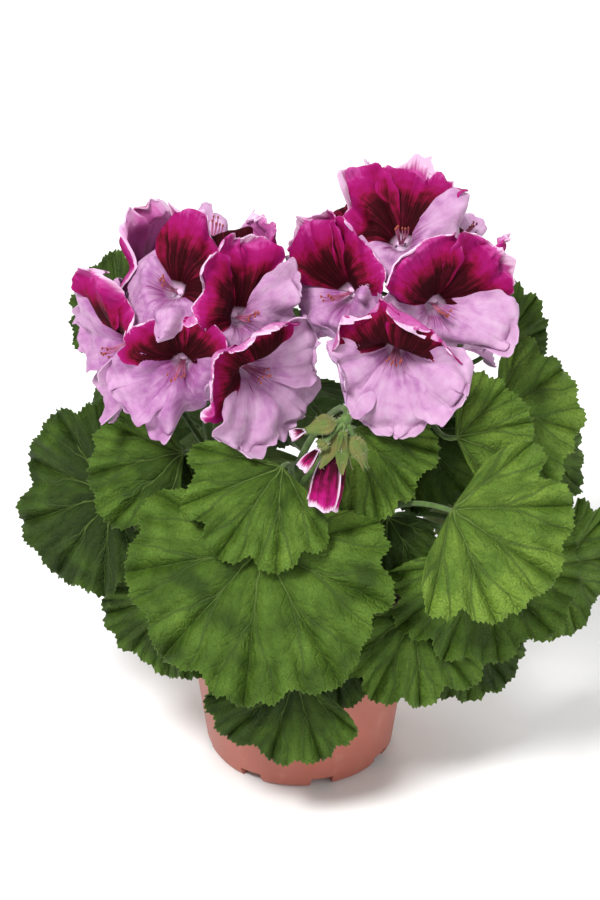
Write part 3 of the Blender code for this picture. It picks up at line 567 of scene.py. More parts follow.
def pot_material():
    """Injection moulded polypropylene in a brick colour: a fine even grain
    with a satin sheen, and a little dust and watering bloom low down."""
    made, tree, place, cloud, colour = speckled(
        "moulded_polypropylene", 22.0, 4.0,
        ((0.3, "#A45849"), (0.55, "#AC6152"), (0.8, "#B36C5E")),
    )
    dust = node(tree, "TexNoise", place, named={"Scale": 90.0, "Detail": 6.0, "Roughness": 0.7})
    dust = node(tree, "MapRange", dust, 0.56, 0.76, 0.0, 0.35)
    low = node(tree, "SeparateXYZ", place).outputs[2]
    low = node(tree, "MapRange", low, 0.0, 0.05, 1.0, 0.35)
    dust = node(tree, "Math", dust, low, operation="MULTIPLY")
    bloom = {UNDER: colour, OVER: paint("#C79A88")}
    colour = node(tree, "Mix", dust, named=bloom, data_type="RGBA")
    gloss = node(tree, "MapRange", cloud, 0.3, 0.7, 0.42, 0.56)
    grain = node(tree, "TexNoise", place, named={"Scale": 1400.0, "Detail": 2.0})
    return finished(made, colour, gloss, (grain, 0.12, 0.1), {"IOR": 1.49})


def compost_material():
    """Peat based potting compost: dark matt crumbs with paler fibres."""
    made, tree, place, grain, colour = speckled(
        "potting_compost", 600.0, 5.0,
        ((0.3, "#1C1410"), (0.5, "#33251B"), (0.66, "#4C3A2A"), (0.8, "#7A634A")),
    )
    crumb = node(tree, "TexVoronoi", place, named={"Scale": 420.0})
    rise = node(tree, "Math", crumb, grain, operation="ADD")
    return finished(made, colour, 0.95, (rise, 0.9, 1.4))


def floor_material():
    """Matt studio paper, very slightly warm."""
    made, tree, *_, colour = speckled(
        "studio_paper", 3.0, 2.0, ((0.3, "#F4F4F3"), (0.7, "#F7F7F6"))
    )
    finish = node(tree, "BsdfPrincipled", named={"Base Color": colour, "Roughness": 0.9})
    node(tree, "OutputMaterial", finish)
    return made


# Mesh helpers
def chosen(*pieces):
    """Selects these objects alone, and makes the first the active one."""
    bpy.ops.object.select_all(action="DESELECT")
    for piece in pieces:
        piece.select_set(True)
    bpy.context.view_layer.objects.active = pieces[0]


def joined(name, pieces):
    chosen(*pieces)
    if len(pieces) > 1:
        bpy.ops.object.join()
    whole = bpy.context.object
    whole.name = name
    whole.data.name = name
    return whole


def settled(piece):
    """Takes the object's place into its mesh, so that it sits at the origin."""
    chosen(piece)
    bpy.ops.object.transform_apply(location=True, rotation=True, scale=True)
    return piece


def applied(piece, kind, name, **settings):
    chosen(piece)
    change = piece.modifiers.new(name, kind)
    for key, value in settings.items():
        setattr(change, key, value)
    bpy.ops.object.modifier_apply(modifier=name)
    return piece


def smoothed(piece, degrees):
    chosen(piece)
    bpy.ops.object.shade_smooth_by_angle(angle=math.radians(degrees))
    return piece


def formed_sheet(name, columns, rows, place, up, looks, thickness):
    """A grid laid out by a rule. Place takes arrays across (-1 to 1) and along
    (0 to 1) and gives the points in mm and the marks that its looks read."""
    bpy.ops.mesh.primitive_grid_add(x_subdivisions=columns, y_subdivisions=rows, size=2)
    sheet = bpy.context.object
    sheet.name = name
    mesh = sheet.data
    spots = np.empty(len(mesh.vertices) * 3, np.float32)
    mesh.vertices.foreach_get("co", spots)
    spots = spots.reshape(-1, 3).astype(float)
    points, marks = place(spots[:, 0], (spots[:, 1] + 1) / 2)
    mesh.vertices.foreach_set("co", (points * MM).astype(np.float32).ravel())
    for mark, values in marks.items():
        kind, field = ("FLOAT", "value") if values.ndim == 1 else ("FLOAT_VECTOR", "vector")
        layer = mesh.attributes.new(mark, kind, "POINT")
        layer.data.foreach_set(field, values.astype(np.float32).ravel())
    # The looks read the marks, so the grid's own map goes
    while mesh.uv_layers:
        mesh.uv_layers.remove(mesh.uv_layers[0])
    shape = bmesh.new()
    shape.from_mesh(mesh)
    bmesh.ops.remove_doubles(shape, verts=shape.verts, dist=2e-6)
    bmesh.ops.dissolve_degenerate(shape, edges=shape.edges, dist=1e-7)
    toward = sum(face.normal.dot(up) * face.calc_area() for face in shape.faces)
    if toward < 0:
        bmesh.ops.reverse_faces(shape, faces=shape.faces)
    shape.to_mesh(mesh)
    shape.free()
    for look in looks:
        mesh.materials.append(look)
    applied(
        sheet, "SOLIDIFY", "thickness", thickness=thickness * MM, offset=0.0,
        material_offset=len(looks) - 1,
    )
    return smoothed(sheet, 65)


def tube(path, radii, look, resolution=6, sides=2):
    """A round tube along a smooth path of places and the arms they leave by."""
    curve = bpy.data.curves.new("tube", "CURVE")
    curve.dimensions = "3D"
    curve.bevel_depth = MM
    curve.bevel_resolution = sides
    curve.resolution_u = resolution
    curve.use_fill_caps = True
    spline = curve.splines.new("BEZIER")
    spline.bezier_points.add(len(path) - 1)
    for knot, (place, arm), radius in zip(spline.bezier_points, path, radii):
        knot.handle_left_type = "FREE"
        knot.handle_right_type = "FREE"
        knot.co = place * MM
        knot.handle_left = (place - arm) * MM
        knot.handle_right = (place + arm) * MM
        knot.radius = radius
    made = bpy.data.objects.new("tube", curve)
    bpy.context.scene.collection.objects.link(made)
    chosen(made)
    bpy.ops.object.convert(target="MESH")
    made = bpy.context.object
    shape = bmesh.new()
    shape.from_mesh(made.data)
    bmesh.ops.remove_doubles(shape, verts=shape.verts, dist=1e-7)
    bmesh.ops.recalc_face_normals(shape, faces=shape.faces)
    shape.to_mesh(made.data)
    shape.free()
    made.data.materials.clear()
    made.data.materials.append(look)
    return smoothed(made, 50)


def pebble(centre, size, look, steps=2):
    """A small rounded body, stretched to its size along X, Y and Z."""
    bpy.ops.mesh.primitive_ico_sphere_add(
        subdivisions=steps, radius=MM, location=centre * MM, scale=size
    )
    made = settled(bpy.context.object)
    made.data.materials.append(look)
    return smoothed(made, 80)


def kept(piece, slot, *nodes):
    """Says what the piece rides on and which solids it stands for. The slot,
    what it takes its finish from, is not used."""
    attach(piece, "root")
    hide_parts(*nodes)
    return piece


# Pot and compost
def pot_radius(height):
    return POT_FOOT + POT_TAPER * height


def turned(name, profile, sides, look):
    """A turned solid: a disc whose rim is extruded along (radius, height)."""
    first, low = profile[0]
    bpy.ops.mesh.primitive_circle_add(
        vertices=sides, radius=first * MM, fill_type="NGON", location=(0, 0, low * MM)
    )
    made = settled(bpy.context.object)
    made.name = name
    bpy.ops.object.mode_set(mode="EDIT")
    bpy.ops.mesh.select_all(action="SELECT")
    for (before, start), (after, end) in zip(profile, profile[1:]):
        bpy.ops.mesh.extrude_region_move(
            TRANSFORM_OT_translate={"value": (0, 0, (end - start) * MM)}
        )
        share = after / before
        bpy.ops.transform.resize(value=(share, share, 1))
    bpy.ops.mesh.select_all(action="SELECT")
    bpy.ops.mesh.normals_make_consistent(inside=False)
    bpy.ops.object.mode_set(mode="OBJECT")
    made.data.materials.append(look)
    return made


def cut_away(piece, cutters):
    for number, cutter in enumerate(cutters):
        applied(
            piece, "BOOLEAN", f"cut_{number}", operation="DIFFERENCE", solver="EXACT",
            object=cutter,
        )
        bpy.data.objects.remove(cutter, do_unlink=True)
    return piece


def make_pot(look):
    top = POT_HEIGHT
    outside = pot_radius(top) + POT_RIM_OUT
    inside = pot_radius(top) - POT_WALL
    profile = [
        (POT_FOOT - FOOT_ROUND, 0.0),
        (POT_FOOT - 0.3 * FOOT_ROUND, 0.3 * FOOT_ROUND),
        (pot_radius(FOOT_ROUND), FOOT_ROUND),
        (pot_radius(top - POT_RIM_DEPTH), top - POT_RIM_DEPTH),
        (outside - 0.6, top - POT_RIM_DEPTH + 0.8),
        (outside, top - 1.2),
        (outside - 1.0, top),
        (inside + 0.6, top),
        (inside - 0.1, top - 1.0),
        (pot_radius(POT_FLOOR + 3.0) - POT_WALL, POT_FLOOR + 3.0),
        (pot_radius(POT_FLOOR) - POT_WALL - 2.5, POT_FLOOR),
    ]
    pot = turned("pot_body", profile, POT_SIDES, look)
    cutters = []
    for number in range(DRAIN_COUNT):
        angle = 2 * math.pi * (number + DRAIN_TURN) / DRAIN_COUNT
        reach = POT_FOOT * MM
        bpy.ops.mesh.primitive_cube_add(
            size=1, rotation=(0, 0, angle),
            location=(math.cos(angle) * reach, math.sin(angle) * reach, 0),
            scale=(DRAIN_DEPTH * MM, DRAIN_WIDTH * MM, 2 * DRAIN_HEIGHT * MM),
        )
        cutters.append(settled(bpy.context.object))
    cut_away(pot, cutters)
    applied(
        pot, "BEVEL", "soft_edges", width=EDGE_BEVEL * MM, segments=2, limit_method="ANGLE",
        angle_limit=math.radians(28),
    )
    smoothed(pot, 40)
    return kept(pot, "pot", "pot")


def make_compost(look):
    low = POT_FLOOR + FLOOR_GAP
    clear = POT_WALL + WALL_GAP
    profile = [
        (pot_radius(low) - clear - 2.6, low),
        (pot_radius(low + 3.2) - clear, low + 3.2),
        (pot_radius(COMPOST_TOP) - clear - 0.2, COMPOST_TOP),
    ]
    profile += [
        (DOME_EDGE - DOME_STEP * step, COMPOST_TOP + COMPOST_DOME * math.sin(DOME_ARC * step))
        for step in range(1, DOME_RINGS)
    ]
    compost = turned("compost_fill", profile, COMPOST_SIDES, look)
    cutters = []
    middle = COMPOST_TOP + COMPOST_DOME - (HOLE_DEPTH - HOLE_ABOVE) / 2
    for stem in STEMS:
        bpy.ops.mesh.primitive_cylinder_add(
            vertices=20, radius=(STEM_RADIUS + HOLE_CLEAR) * MM,
            depth=(HOLE_DEPTH + HOLE_ABOVE) * MM,
            location=point(*stem.foot, middle) * MM,
        )
        cutters.append(settled(bpy.context.object))
    cut_away(compost, cutters)
    crumbs = bpy.data.textures.new("crumbs", "CLOUDS")
    crumbs.noise_scale = CRUMB_SIZE * MM
    crumbs.noise_depth = 3
    top = compost.vertex_groups.new(name="top")
    top.add(
        [
            corner.index for corner in compost.data.vertices
            if corner.co.z > (COMPOST_TOP + 0.5) * MM
        ],
        1.0, "REPLACE",
    )
    applied(
        compost, "DISPLACE", "lumps", texture=crumbs, strength=CRUMB_HEIGHT * MM, mid_level=0.6,
        vertex_group="top", texture_coords="LOCAL",
    )
    smoothed(compost, 60)
    return kept(compost, "compost", "compost")


# Leaves
def leaf_axes(leaf):
    normal = facing(leaf.face, leaf.rise)
    down = downhill(normal)
    midrib = swing(down, np.cross(normal, down), leaf.turn)
    return normal, midrib, np.cross(normal, midrib)


def leaf_number(leaf):
    return LEAVES.index(leaf) + 1


def lobe_width(leaf):
    """Degrees of the fan that one lobe takes."""
    return 2 * leaf.spread / (5 if leaf.spread < 100 else 7)


def notch(phase, place, width):
    """A soft dip of the margin, one deep, at a place counted in lobes."""
    return np.exp(-(((phase - place) / width) ** 2))


def leaf_reach(leaf, angle):
    """Length of the blade from its stalk at each angle from the midrib."""
    number = leaf_number(leaf)
    share = np.abs(angle) / leaf.spread
    phase = angle / lobe_width(leaf)
    reach = 1 - SIDES_SHORTER * share**2 - BASE_ROUNDING * share**10
    least, more, wide = LOBE_NOTCH
    fine_least, fine_more, fine_wide = FINE_NOTCH
    dips = 0.0
    for border in range(-4, 5):
        seed = number * 9.7 + border
        place = border + 0.5 + 0.12 * (chance(seed) - 0.5)
        dips = dips + (least + more * chance(seed + 0.4)) * notch(phase, place, wide)
        for side in (-1, 1):
            deep = fine_least + fine_more * chance(seed + side * 0.3)
            dips = dips + deep * notch(phase, border + side * 0.18, fine_wide)
    reach *= 1 - dips
    cut_at = (chance(number) - 0.5) * 1.2 * leaf.spread
    reach *= 1 - WEAR_NOTCH * np.exp(-(((angle - cut_at) / 7.0) ** 2))
    reach *= 1.02 + 0.04 * np.sin(np.radians(angle) * 2 + number)
    return leaf.reach * reach


def leaf_surface(leaf, angle, radius):
    """Points of the blade at angles from the midrib and distances in mm."""
    normal, midrib, side = leaf_axes(leaf)
    number = leaf_number(leaf)
    share = radius / leaf.reach
    turn = np.radians(angle)
    ridge = np.abs(np.sin(np.pi * angle / lobe_width(leaf)))
    height = -leaf.droop * share**2 - STALK_DIMPLE * np.exp(-((share / DIMPLE_REACH) ** 2))
    height += LOBE_FOLD * share * (ridge - 0.5)
    height += MARGIN_SWEEP * share**3 * np.sin(turn * 5 + number * 1.7)
    height += SIDE_LIFT * share * np.sin(turn * 0.5) ** 2
    height += MARGIN_RIPPLE * share**4 * np.sin(turn * 17 + number * 2.9)
    pleat = np.abs(np.sin(3 * np.pi * angle / lobe_width(leaf))) - 0.5
    height += VEIN_PLEAT * np.clip(share * 1.6 - 0.5, 0, 1) ** 1.5 * pleat
    flat = np.outer(np.cos(turn), midrib) + np.outer(np.sin(turn), side)
    return point(*leaf.at) + flat * radius[:, None] + np.outer(height * leaf.reach, normal)


def make_blade(leaf, looks):
    """A blade whose rim zigzags in teeth, two columns of the sheet to a tooth."""
    number = leaf_number(leaf)
    lobes = round(2 * leaf.spread / lobe_width(leaf))
    margin = math.radians(2 * leaf.spread) * leaf.reach
    columns = 2 * lobes * round(margin / TOOTH_PITCH / lobes)

    def place(across, along):
        angle = across * leaf.spread
        reach = leaf_reach(leaf, angle)
        column = np.round((across + 1) / 2 * columns)
        tooth = 0.6 + 0.8 * np.abs(np.sin(column * 7.13 + number))
        tooth = np.where((along > 0.999) & (column % 2 == 1), tooth * TOOTH_HEIGHT, 0)
        radius = reach * along + tooth
        turn = np.radians(angle)
        lobe = np.full_like(radius, math.radians(lobe_width(leaf)))
        fan = np.stack((angle / lobe_width(leaf), radius, lobe), axis=1)
        rim = np.maximum(0, reach - radius)
        ahead = radius * np.cos(turn) + LEAF_APART * number
        flat = np.stack((ahead, radius * np.sin(turn), rim), axis=1)
        # How much deeper the green is drawn: the tone of age, and painted shade on leaves that lie
        # in shade
        age = np.full_like(radius, leaf.age)
        return leaf_surface(leaf, angle, radius), {"fan": fan, "flat": flat, "age": age}

    normal = leaf_axes(leaf)[0]
    return formed_sheet(
        f"blade_{leaf.name}", columns, BLADE_ROWS, place, normal, looks, BLADE_THICK
    )


def stem_named(name):
    return next(stem for stem in STEMS if stem.name == name)


def stem_place(stem, height):
    """A point on the stem's own path at a height."""
    share = min(1.0, max(0.0, (height - COMPOST_TOP) / (stem.top - COMPOST_TOP)))
    bend = share * share * (3 - 2 * share)
    foot = point(*stem.foot)
    across = foot + (point(*stem.lean) - foot) * bend
    return point(across[0], across[1], height)


def make_stem(stem, look):
    places = [point(*stem.foot, COMPOST_TOP + COMPOST_DOME - HOLE_DEPTH + HOLE_CLEAR)]
    low = COMPOST_TOP + 6
    places += [stem_place(stem, low + (stem.top - low) * step / 3) for step in range(4)]
    path = []
    for index, place in enumerate(places):
        before = places[max(0, index - 1)]
        after = places[min(len(places) - 1, index + 1)]
        path.append((place, (after - before) * 0.17))
    radii = (STEM_RADIUS, STEM_RADIUS, 3.1, 2.8, 2.4)
    pieces = [tube(path, radii, look, 8, 4)]
    for number, height in enumerate(np.arange(COMPOST_TOP + 14, stem.top - 8, 17)):
        joint = stem_place(stem, height)
        wide = 3.9 - 0.25 * number
        pieces.append(pebble(joint, (wide, wide, 2.4), look))
    return pieces


def make_petiole(leaf, look):
    stem = stem_named(leaf.shoot)
    normal, midrib = leaf_axes(leaf)[:2]
    start = stem_place(stem, leaf.height)
    end = point(*leaf.at) + midrib - normal * STALK_DIMPLE * leaf.reach
    span = np.linalg.norm(end - start)
    out = unit(point(end[0] - start[0], end[1] - start[1], 0))
    hang = min(1.0, max(0.0, (24 - leaf.rise) / 12))
    leave = unit(out + point(0, 0, 1.1)) * span * 0.4
    arrive = unit(midrib * (0.5 + 0.4 * hang) + normal * (0.6 - 0.3 * hang))
    arrive = arrive * span * (0.3 + 0.15 * hang)
    across = point(out[1], -out[0], 0) * leaf.sway
    path = [(start, leave + across), (end, arrive + across * 0.5)]
    return tube(path, (PETIOLE_RADIUS * 1.15, PETIOLE_RADIUS * 0.9), look, 12, 2)


# Blooms
def head_named(name):
    return next(head for head in HEADS if head.name == name)


def bloom_axes(bloom):
    """Forward, up and right of a bloom, with up turned by its roll."""
    forward = facing(bloom.face, bloom.rise + bloom.tilt)
    up = -downhill(forward)
    right = np.cross(up, forward)
    turned_up = swing(up, -right, bloom.roll)
    return forward, turned_up, np.cross(turned_up, forward)


def bloom_hub(bloom):
    """Where the petals of a bloom meet, behind its throat."""
    head = head_named(bloom.head)
    return point(*head.centre) + facing(bloom.face, bloom.rise) * (bloom.out - 7.0)


def cell_walls(bloom):
    """Wavy borders that share the room on a head between its blooms, and one
    between the two heads. Each is a point, the way out through it, the sign of
    its waves, and 1 or -1 as the bloom lies over or under its neighbour there.
    A bloom that faces lower, or more to the front, lies over the others."""
    centre = point(*head_named(bloom.head).centre)
    own = facing(bloom.face, bloom.rise)
    walls = []
    for other in BLOOMS:
        if other.head != bloom.head or other.number == bloom.number:
            continue
        away = facing(other.face, other.rise)
        gap = angle_between(own, away)
        if gap > math.radians(WIDEST_NEIGHBOUR):
            continue
        share = gap * bloom.weight / (bloom.weight + other.weight)
        across = unit(away - own * away.dot(own))
        normal = across * math.cos(share) - own * math.sin(share)
        rank = bloom.rise + SIDE_RANK * abs(bloom.face)
        order = 1 if rank < other.rise + SIDE_RANK * abs(other.face) else -1
        if (bloom.head, bloom.number, other.number) in LAID_OVER:
            order = 1
        if (bloom.head, other.number, bloom.number) in LAID_OVER:
            order = -1
        walls.append((centre, normal, order, order))
    left = point(*HEADS[0].centre)
    right = point(*HEADS[1].centre)
    middle = (left + right) / 2 + point(0, 22, -22)
    sign = 1 if bloom.head == "left" else -1
    walls.append((middle, unit(right - left) * sign, sign, 0))
    return walls


def wall_wave(places):
    """One smooth wandering value for every place, in mm."""
    x, y, z = places.T
    wave = np.sin(x * 0.21 + z * 0.13) + np.sin(y * 0.19 - z * 0.23 + 1.3)
    return CELL_WAVE * 0.5 * (wave + np.sin(x * 0.11 - y * 0.27 + z * 0.17 + 0.4))


def smooth(value):
    """A smooth step from 0 to 1 over values from 0 to 1."""
    value = np.clip(value, 0, 1)
    return value * value * (3 - 2 * value)


def softly_above(value, floor):
    """The value, eased so that it stays above the floor."""
    return floor + LAYER_SOFT * np.log1p(np.exp(np.clip((value - floor) / LAYER_SOFT, -30, 30)))


def layered(places, centre, past, order):
    """Points near a border laid over (order 1) or under (-1) a round surface
    that the two blooms share."""
    offset = places - centre
    radius = np.linalg.norm(offset, axis=1)
    if order > 0:
        near = smooth((past + 10) / LAYER_EASE)
        laid = softly_above(radius, LAYER_RADIUS + OVER_RISE)
    else:
        near = smooth((past + 15) / LAYER_EASE)
        laid = -softly_above(-radius, UNDER_SINK - LAYER_RADIUS)
    return centre + offset * (1 + near * (laid / radius - 1))[:, None]


def kept_inside(places, walls, overlap):
    """The points pushed back from each wall and outward along it, and laid
    over or under the petals of the neighbour there; and how free of upper
    neighbours each is, from 0 to 1."""
    places = places.copy()
    free = np.ones(len(places))
    for turn in range(6):
        for centre, normal, side, order in walls:
            past = (places - centre) @ normal + side * wall_wave(places)
            if order == 0:
                past = past - side * HEAD_BULGE * smooth((-16 - places[:, 1]) / 24)
            if order and turn in (0, 5):
                places = layered(places, centre, past, order)
            if order < 0:
                free = np.minimum(free, 1 - smooth((past + 17) / LAYER_EASE))
            offset = places - centre
            reach = past - (0, overlap, OVERLAP_BELOW)[order]
            over = np.maximum(0.0, reach)
            if turn == 0:
                over = CELL_SOFT * np.log1p(np.exp(np.minimum(reach / CELL_SOFT, 30.0)))
            along = offset - np.outer(offset @ normal, normal)
            length = np.linalg.norm(along, axis=1)
            places = places - np.outer(over, normal)
            if turn < 2:
                push = np.where(length > 1, over * 0.3 / np.maximum(length, 1), 0)
                places = places + along * push[:, None]
    return places, free


def petal_seed(bloom, number):
    """A number of the petal's own, for its chances and its waves."""
    return BLOOMS.index(bloom) * 5 + number + 1


def petal_length(bloom, number):
    return PETAL_LENGTHS[number] * bloom.size


def petal_half(bloom, number, along):
    """Half the width of a petal at a share of its length."""
    width = PETAL_WIDTHS[number] * bloom.size
    swell = np.sin(0.5 * np.pi * np.minimum(along, PETAL_BROADEST) / PETAL_BROADEST) ** 1.5
    rest = np.maximum(0, along - PETAL_BROADEST) / (1 - PETAL_BROADEST)
    tip = np.maximum(0.0, 1 - rest**2.5) ** 0.5
    return width * np.where(along < PETAL_BROADEST, 0.12 + 0.88 * swell, tip)


def petal_rim(bloom, number, across, along):
    """Distance in mm from the edge of the petal, roughly."""
    half = petal_half(bloom, number, along)
    tip = petal_length(bloom, number) * (1 - along)
    aside = half * (1 - np.abs(across)) + 0.3 * tip
    return np.maximum(0, np.minimum(aside, tip + 0.15 * half))


def petal_surface(bloom, number, across, along):
    """Points of a petal. Across runs from -1 to 1, along from 0 to 1."""
    forward, up, right = bloom_axes(bloom)
    seed = petal_seed(bloom, number)
    angle = PETAL_ANGLES[number] + (chance(seed) - 0.5) * 6
    outward = swing(up, right, angle)
    sideways = np.cross(outward, forward)
    length = petal_length(bloom, number)
    start = math.radians(PETAL_LIFTS[number])
    end = math.radians(PETAL_CURLS[number] + (chance(seed + 0.5) - 0.5) * 26)
    lift = start + (end - start) * along
    rate = length / (end - start)
    run = rate * (np.sin(lift) - math.sin(start))
    climb = rate * (math.cos(start) - np.cos(lift))
    normal = np.outer(np.cos(lift), forward) - np.outer(np.sin(lift), outward)
    half = petal_half(bloom, number, along)
    round_rim = np.sign(across) * np.arccos(np.clip(along, 0, 1))
    notched = np.sin(round_rim * 11 + seed) + 0.7 * np.sin(round_rim * 27 - seed * 2.1)
    half = half * (1 + 0.035 * notched)
    edge = np.abs(across)
    ripple = np.sin(across * 4.6 + along * 5.0 + seed)
    ripple += 0.8 * np.sin(across * 8.0 - along * 8.0 + seed * 2.3)
    ruffle = RUFFLE * bloom.size * along**1.6 * (0.15 + 0.85 * edge**1.5) * ripple
    for fold in (1, 2):
        place = (chance(seed + fold * 0.37) - 0.5) * 1.3
        crease = np.exp(-(((across - place - 0.1 * along) / 0.16) ** 2))
        ruffle -= (CREASE_LEAST + CREASE_MORE * chance(seed * 1.7 + fold)) * along * crease
    cup = 0.22 * half * edge * edge * (1 - along)
    depth = (UPPER_HUB if number < 2 else LOWER_HUB)[1]
    layer = PETAL_LAYERS[number] * np.sin(np.pi * np.minimum(along, 0.5))
    base = bloom_hub(bloom) + outward * CLAW_START + forward * depth
    places = base + np.outer(run, outward) + np.outer(climb, forward)
    places += np.outer(half * across, sideways) + normal * (ruffle + cup + layer)[:, None]
    overlap = OVERLAP_UPPER if number < 2 else OVERLAP_LOWER
    places, free = kept_inside(places, cell_walls(bloom), overlap)
    frill = petal_frill(bloom, number, across, along, round_rim) * (0.1 + 0.9 * free)
    return places + normal * frill[:, None]


def petal_frill(bloom, number, across, along, round_rim):
    """Waves and fine crimps of the margin, in mm off the petal's own surface."""
    seed = petal_seed(bloom, number)
    rim = petal_rim(bloom, number, across, along)
    wave = np.sin(round_rim * 6.3 + seed * 1.9) + 0.8 * np.sin(round_rim * 13.1 - seed * 2.7)
    crimp = np.sin(round_rim * 23 + seed) + 0.8 * np.sin(round_rim * 37 - seed * 1.3)
    frill = EDGE_WAVE * wave * np.exp(-rim / WAVE_REACH)
    frill += EDGE_CRIMP * crimp * np.exp(-rim / CRIMP_REACH)
    return bloom.size * frill * np.minimum(1, 2.2 * along)


def make_petal(bloom, number, looks):
    """A petal with the marks that its colours are drawn by. Blotch runs from 0,
    where the dark patch is deepest, to 1 at the rim."""
    def place(across, along):
        along = np.sin(0.5 * np.pi * along)
        seed = petal_seed(bloom, number)
        ahead = petal_length(bloom, number) * along
        aside = petal_half(bloom, number, along) * across
        rim = petal_rim(bloom, number, across, along)
        fan = np.stack(
            (np.arctan2(aside, ahead + 3.0), along, np.full_like(along, seed * 7.3)), axis=1
        )
        flat = np.stack((aside + 90 * seed, ahead, rim), axis=1)
        blotch = np.maximum(
            0.8 * np.abs(across) ** 3 * np.minimum(1, 1.7 * along), (along - 0.4) / 0.6
        )
        # How much deeper the pale petals are drawn: a more violet tone, partly painted shade
        age = np.full_like(along, DEEPENED_AND_SHADED.get((bloom.head, bloom.number), 0.0))
        marks = {"fan": fan, "flat": flat, "blotch": np.maximum(0, blotch), "age": age}
        return petal_surface(bloom, number, across, along), marks

    forward = bloom_axes(bloom)[0]
    return formed_sheet(
        f"petal_{number}", PETAL_COLUMNS, PETAL_ROWS, place, forward, looks, PETAL_THICK
    )


def hub_disc(bloom, spec, look):
    """The small disc that the claws of some petals grow from."""
    forward, up = bloom_axes(bloom)[:2]
    rise, depth, radius = spec
    centre = bloom_hub(bloom) + up * rise + forward * depth
    return pebble(centre, (radius, radius, radius * 0.6), look)


def make_stamens(bloom, looks):
    """A spray of fine filaments that curve out of the throat, with anthers."""
    forward, up, right = bloom_axes(bloom)
    hub = bloom_hub(bloom)
    pieces = []
    for number in range(STAMENS):
        seed = BLOOMS.index(bloom) * STAMENS + number
        aside = (number - STAMENS // 2) * 1.1 + chance(seed) - 0.5
        rise = (chance(seed + 0.3) - 0.5) * 3.0
        reach = 12.0 + 4.0 * chance(seed + 0.6)
        start = hub + up * 0.4 + right * aside * 0.25
        tip = hub + forward * reach + up * (rise - 2.2) + right * aside
        path = [(start, forward * 5 - up * 1.2), (tip, forward * 4 + up * 1.6)]
        pieces.append(tube(path, (0.34, 0.24), looks[0], 5, 0))
        pieces.append(pebble(tip, (0.5, 0.5, 0.9), looks[1], 1))
    return pieces


def make_bloom(bloom, looks):
    label = f"{bloom.head}_{bloom.number}"
    upper = [make_petal(bloom, number, looks["upper"]) for number in (0, 1)]
    upper.append(hub_disc(bloom, UPPER_HUB, looks["upper"][1]))
    upper += make_stamens(bloom, looks["stamen"])
    kept(joined(f"upper_petals_{label}", upper), "dark", f"bloom_{label}_upper")
    lower = [make_petal(bloom, number, looks["lower"]) for number in (2, 3, 4)]
    lower.append(hub_disc(bloom, LOWER_HUB, looks["lower"][1]))
    kept(joined(f"lower_petals_{label}", lower), "pale", f"bloom_{label}_lower")


def make_sepal(start, way, out, length, width, flare, looks):
    """A narrow pointed sepal that leaves its stalk and flares from the axis."""
    def place(across, along):
        half = width * np.sin(np.pi * np.minimum(0.97, 0.18 + 0.82 * along)) ** 0.8
        away = 1.2 + flare * along**1.4
        side = np.cross(way, out)
        places = start + np.outer(along * length, way) + np.outer(half * across, side)
        places += np.outer(away + 0.5 * across**2, out)
        return places, {}

    return formed_sheet("sepal", 4, 9, place, out, looks, 0.6)


def make_calyx(bloom, looks):
    """Five green sepals on a small cup behind a bloom."""
    forward, up, right = bloom_axes(bloom)
    top = bloom_hub(bloom) + forward * (LOWER_HUB[1] - 1.0)
    low = top - forward * CALYX_LENGTH
    path = [(low, forward * 3), (top - forward * 0.8, forward * 3)]
    pieces = [tube(path, (1.3, 2.5), looks[0], 4, 2)]
    start = low + forward * 1.5
    for number in range(5):
        out = swing(up, right, 72 * number + 36)
        pieces.append(make_sepal(start, forward, out, CALYX_LENGTH - 2.2, 1.9, 4.0, looks))
    return pieces


def make_pedicel(bloom, look):
    head = head_named(bloom.head)
    forward = bloom_axes(bloom)[0]
    start = point(*head.centre) - point(0, 0, 5)
    end = bloom_hub(bloom) + forward * (LOWER_HUB[1] - 2.0 - CALYX_LENGTH + 1.5)
    arm = (end - start) * 0.33
    path = [(start, arm), (end, forward * np.linalg.norm(arm))]
    return tube(path, (PEDICEL_RADIUS, 1.2 * PEDICEL_RADIUS), look, 7, 1)


def make_head_stalk(head, look):
    start = point(*head.foot)
    end = point(*head.centre) - point(0, 0, 3)
    arm = point(0, 0, 12)
    stalk = tube([(start, arm), (end, arm)], (STALK_RADIUS, 1.15 * STALK_RADIUS), look, 8, 3)
    return [stalk, pebble(end - point(0, 0, 1), (3.4, 3.4, 3.0), look)]


# Buds
def bud_line(bud):
    """Where a bud's calyx starts and the way it points."""
    way = unit(point(*bud.way))
    return point(*BUD_HUB) + way * bud.stalk, way


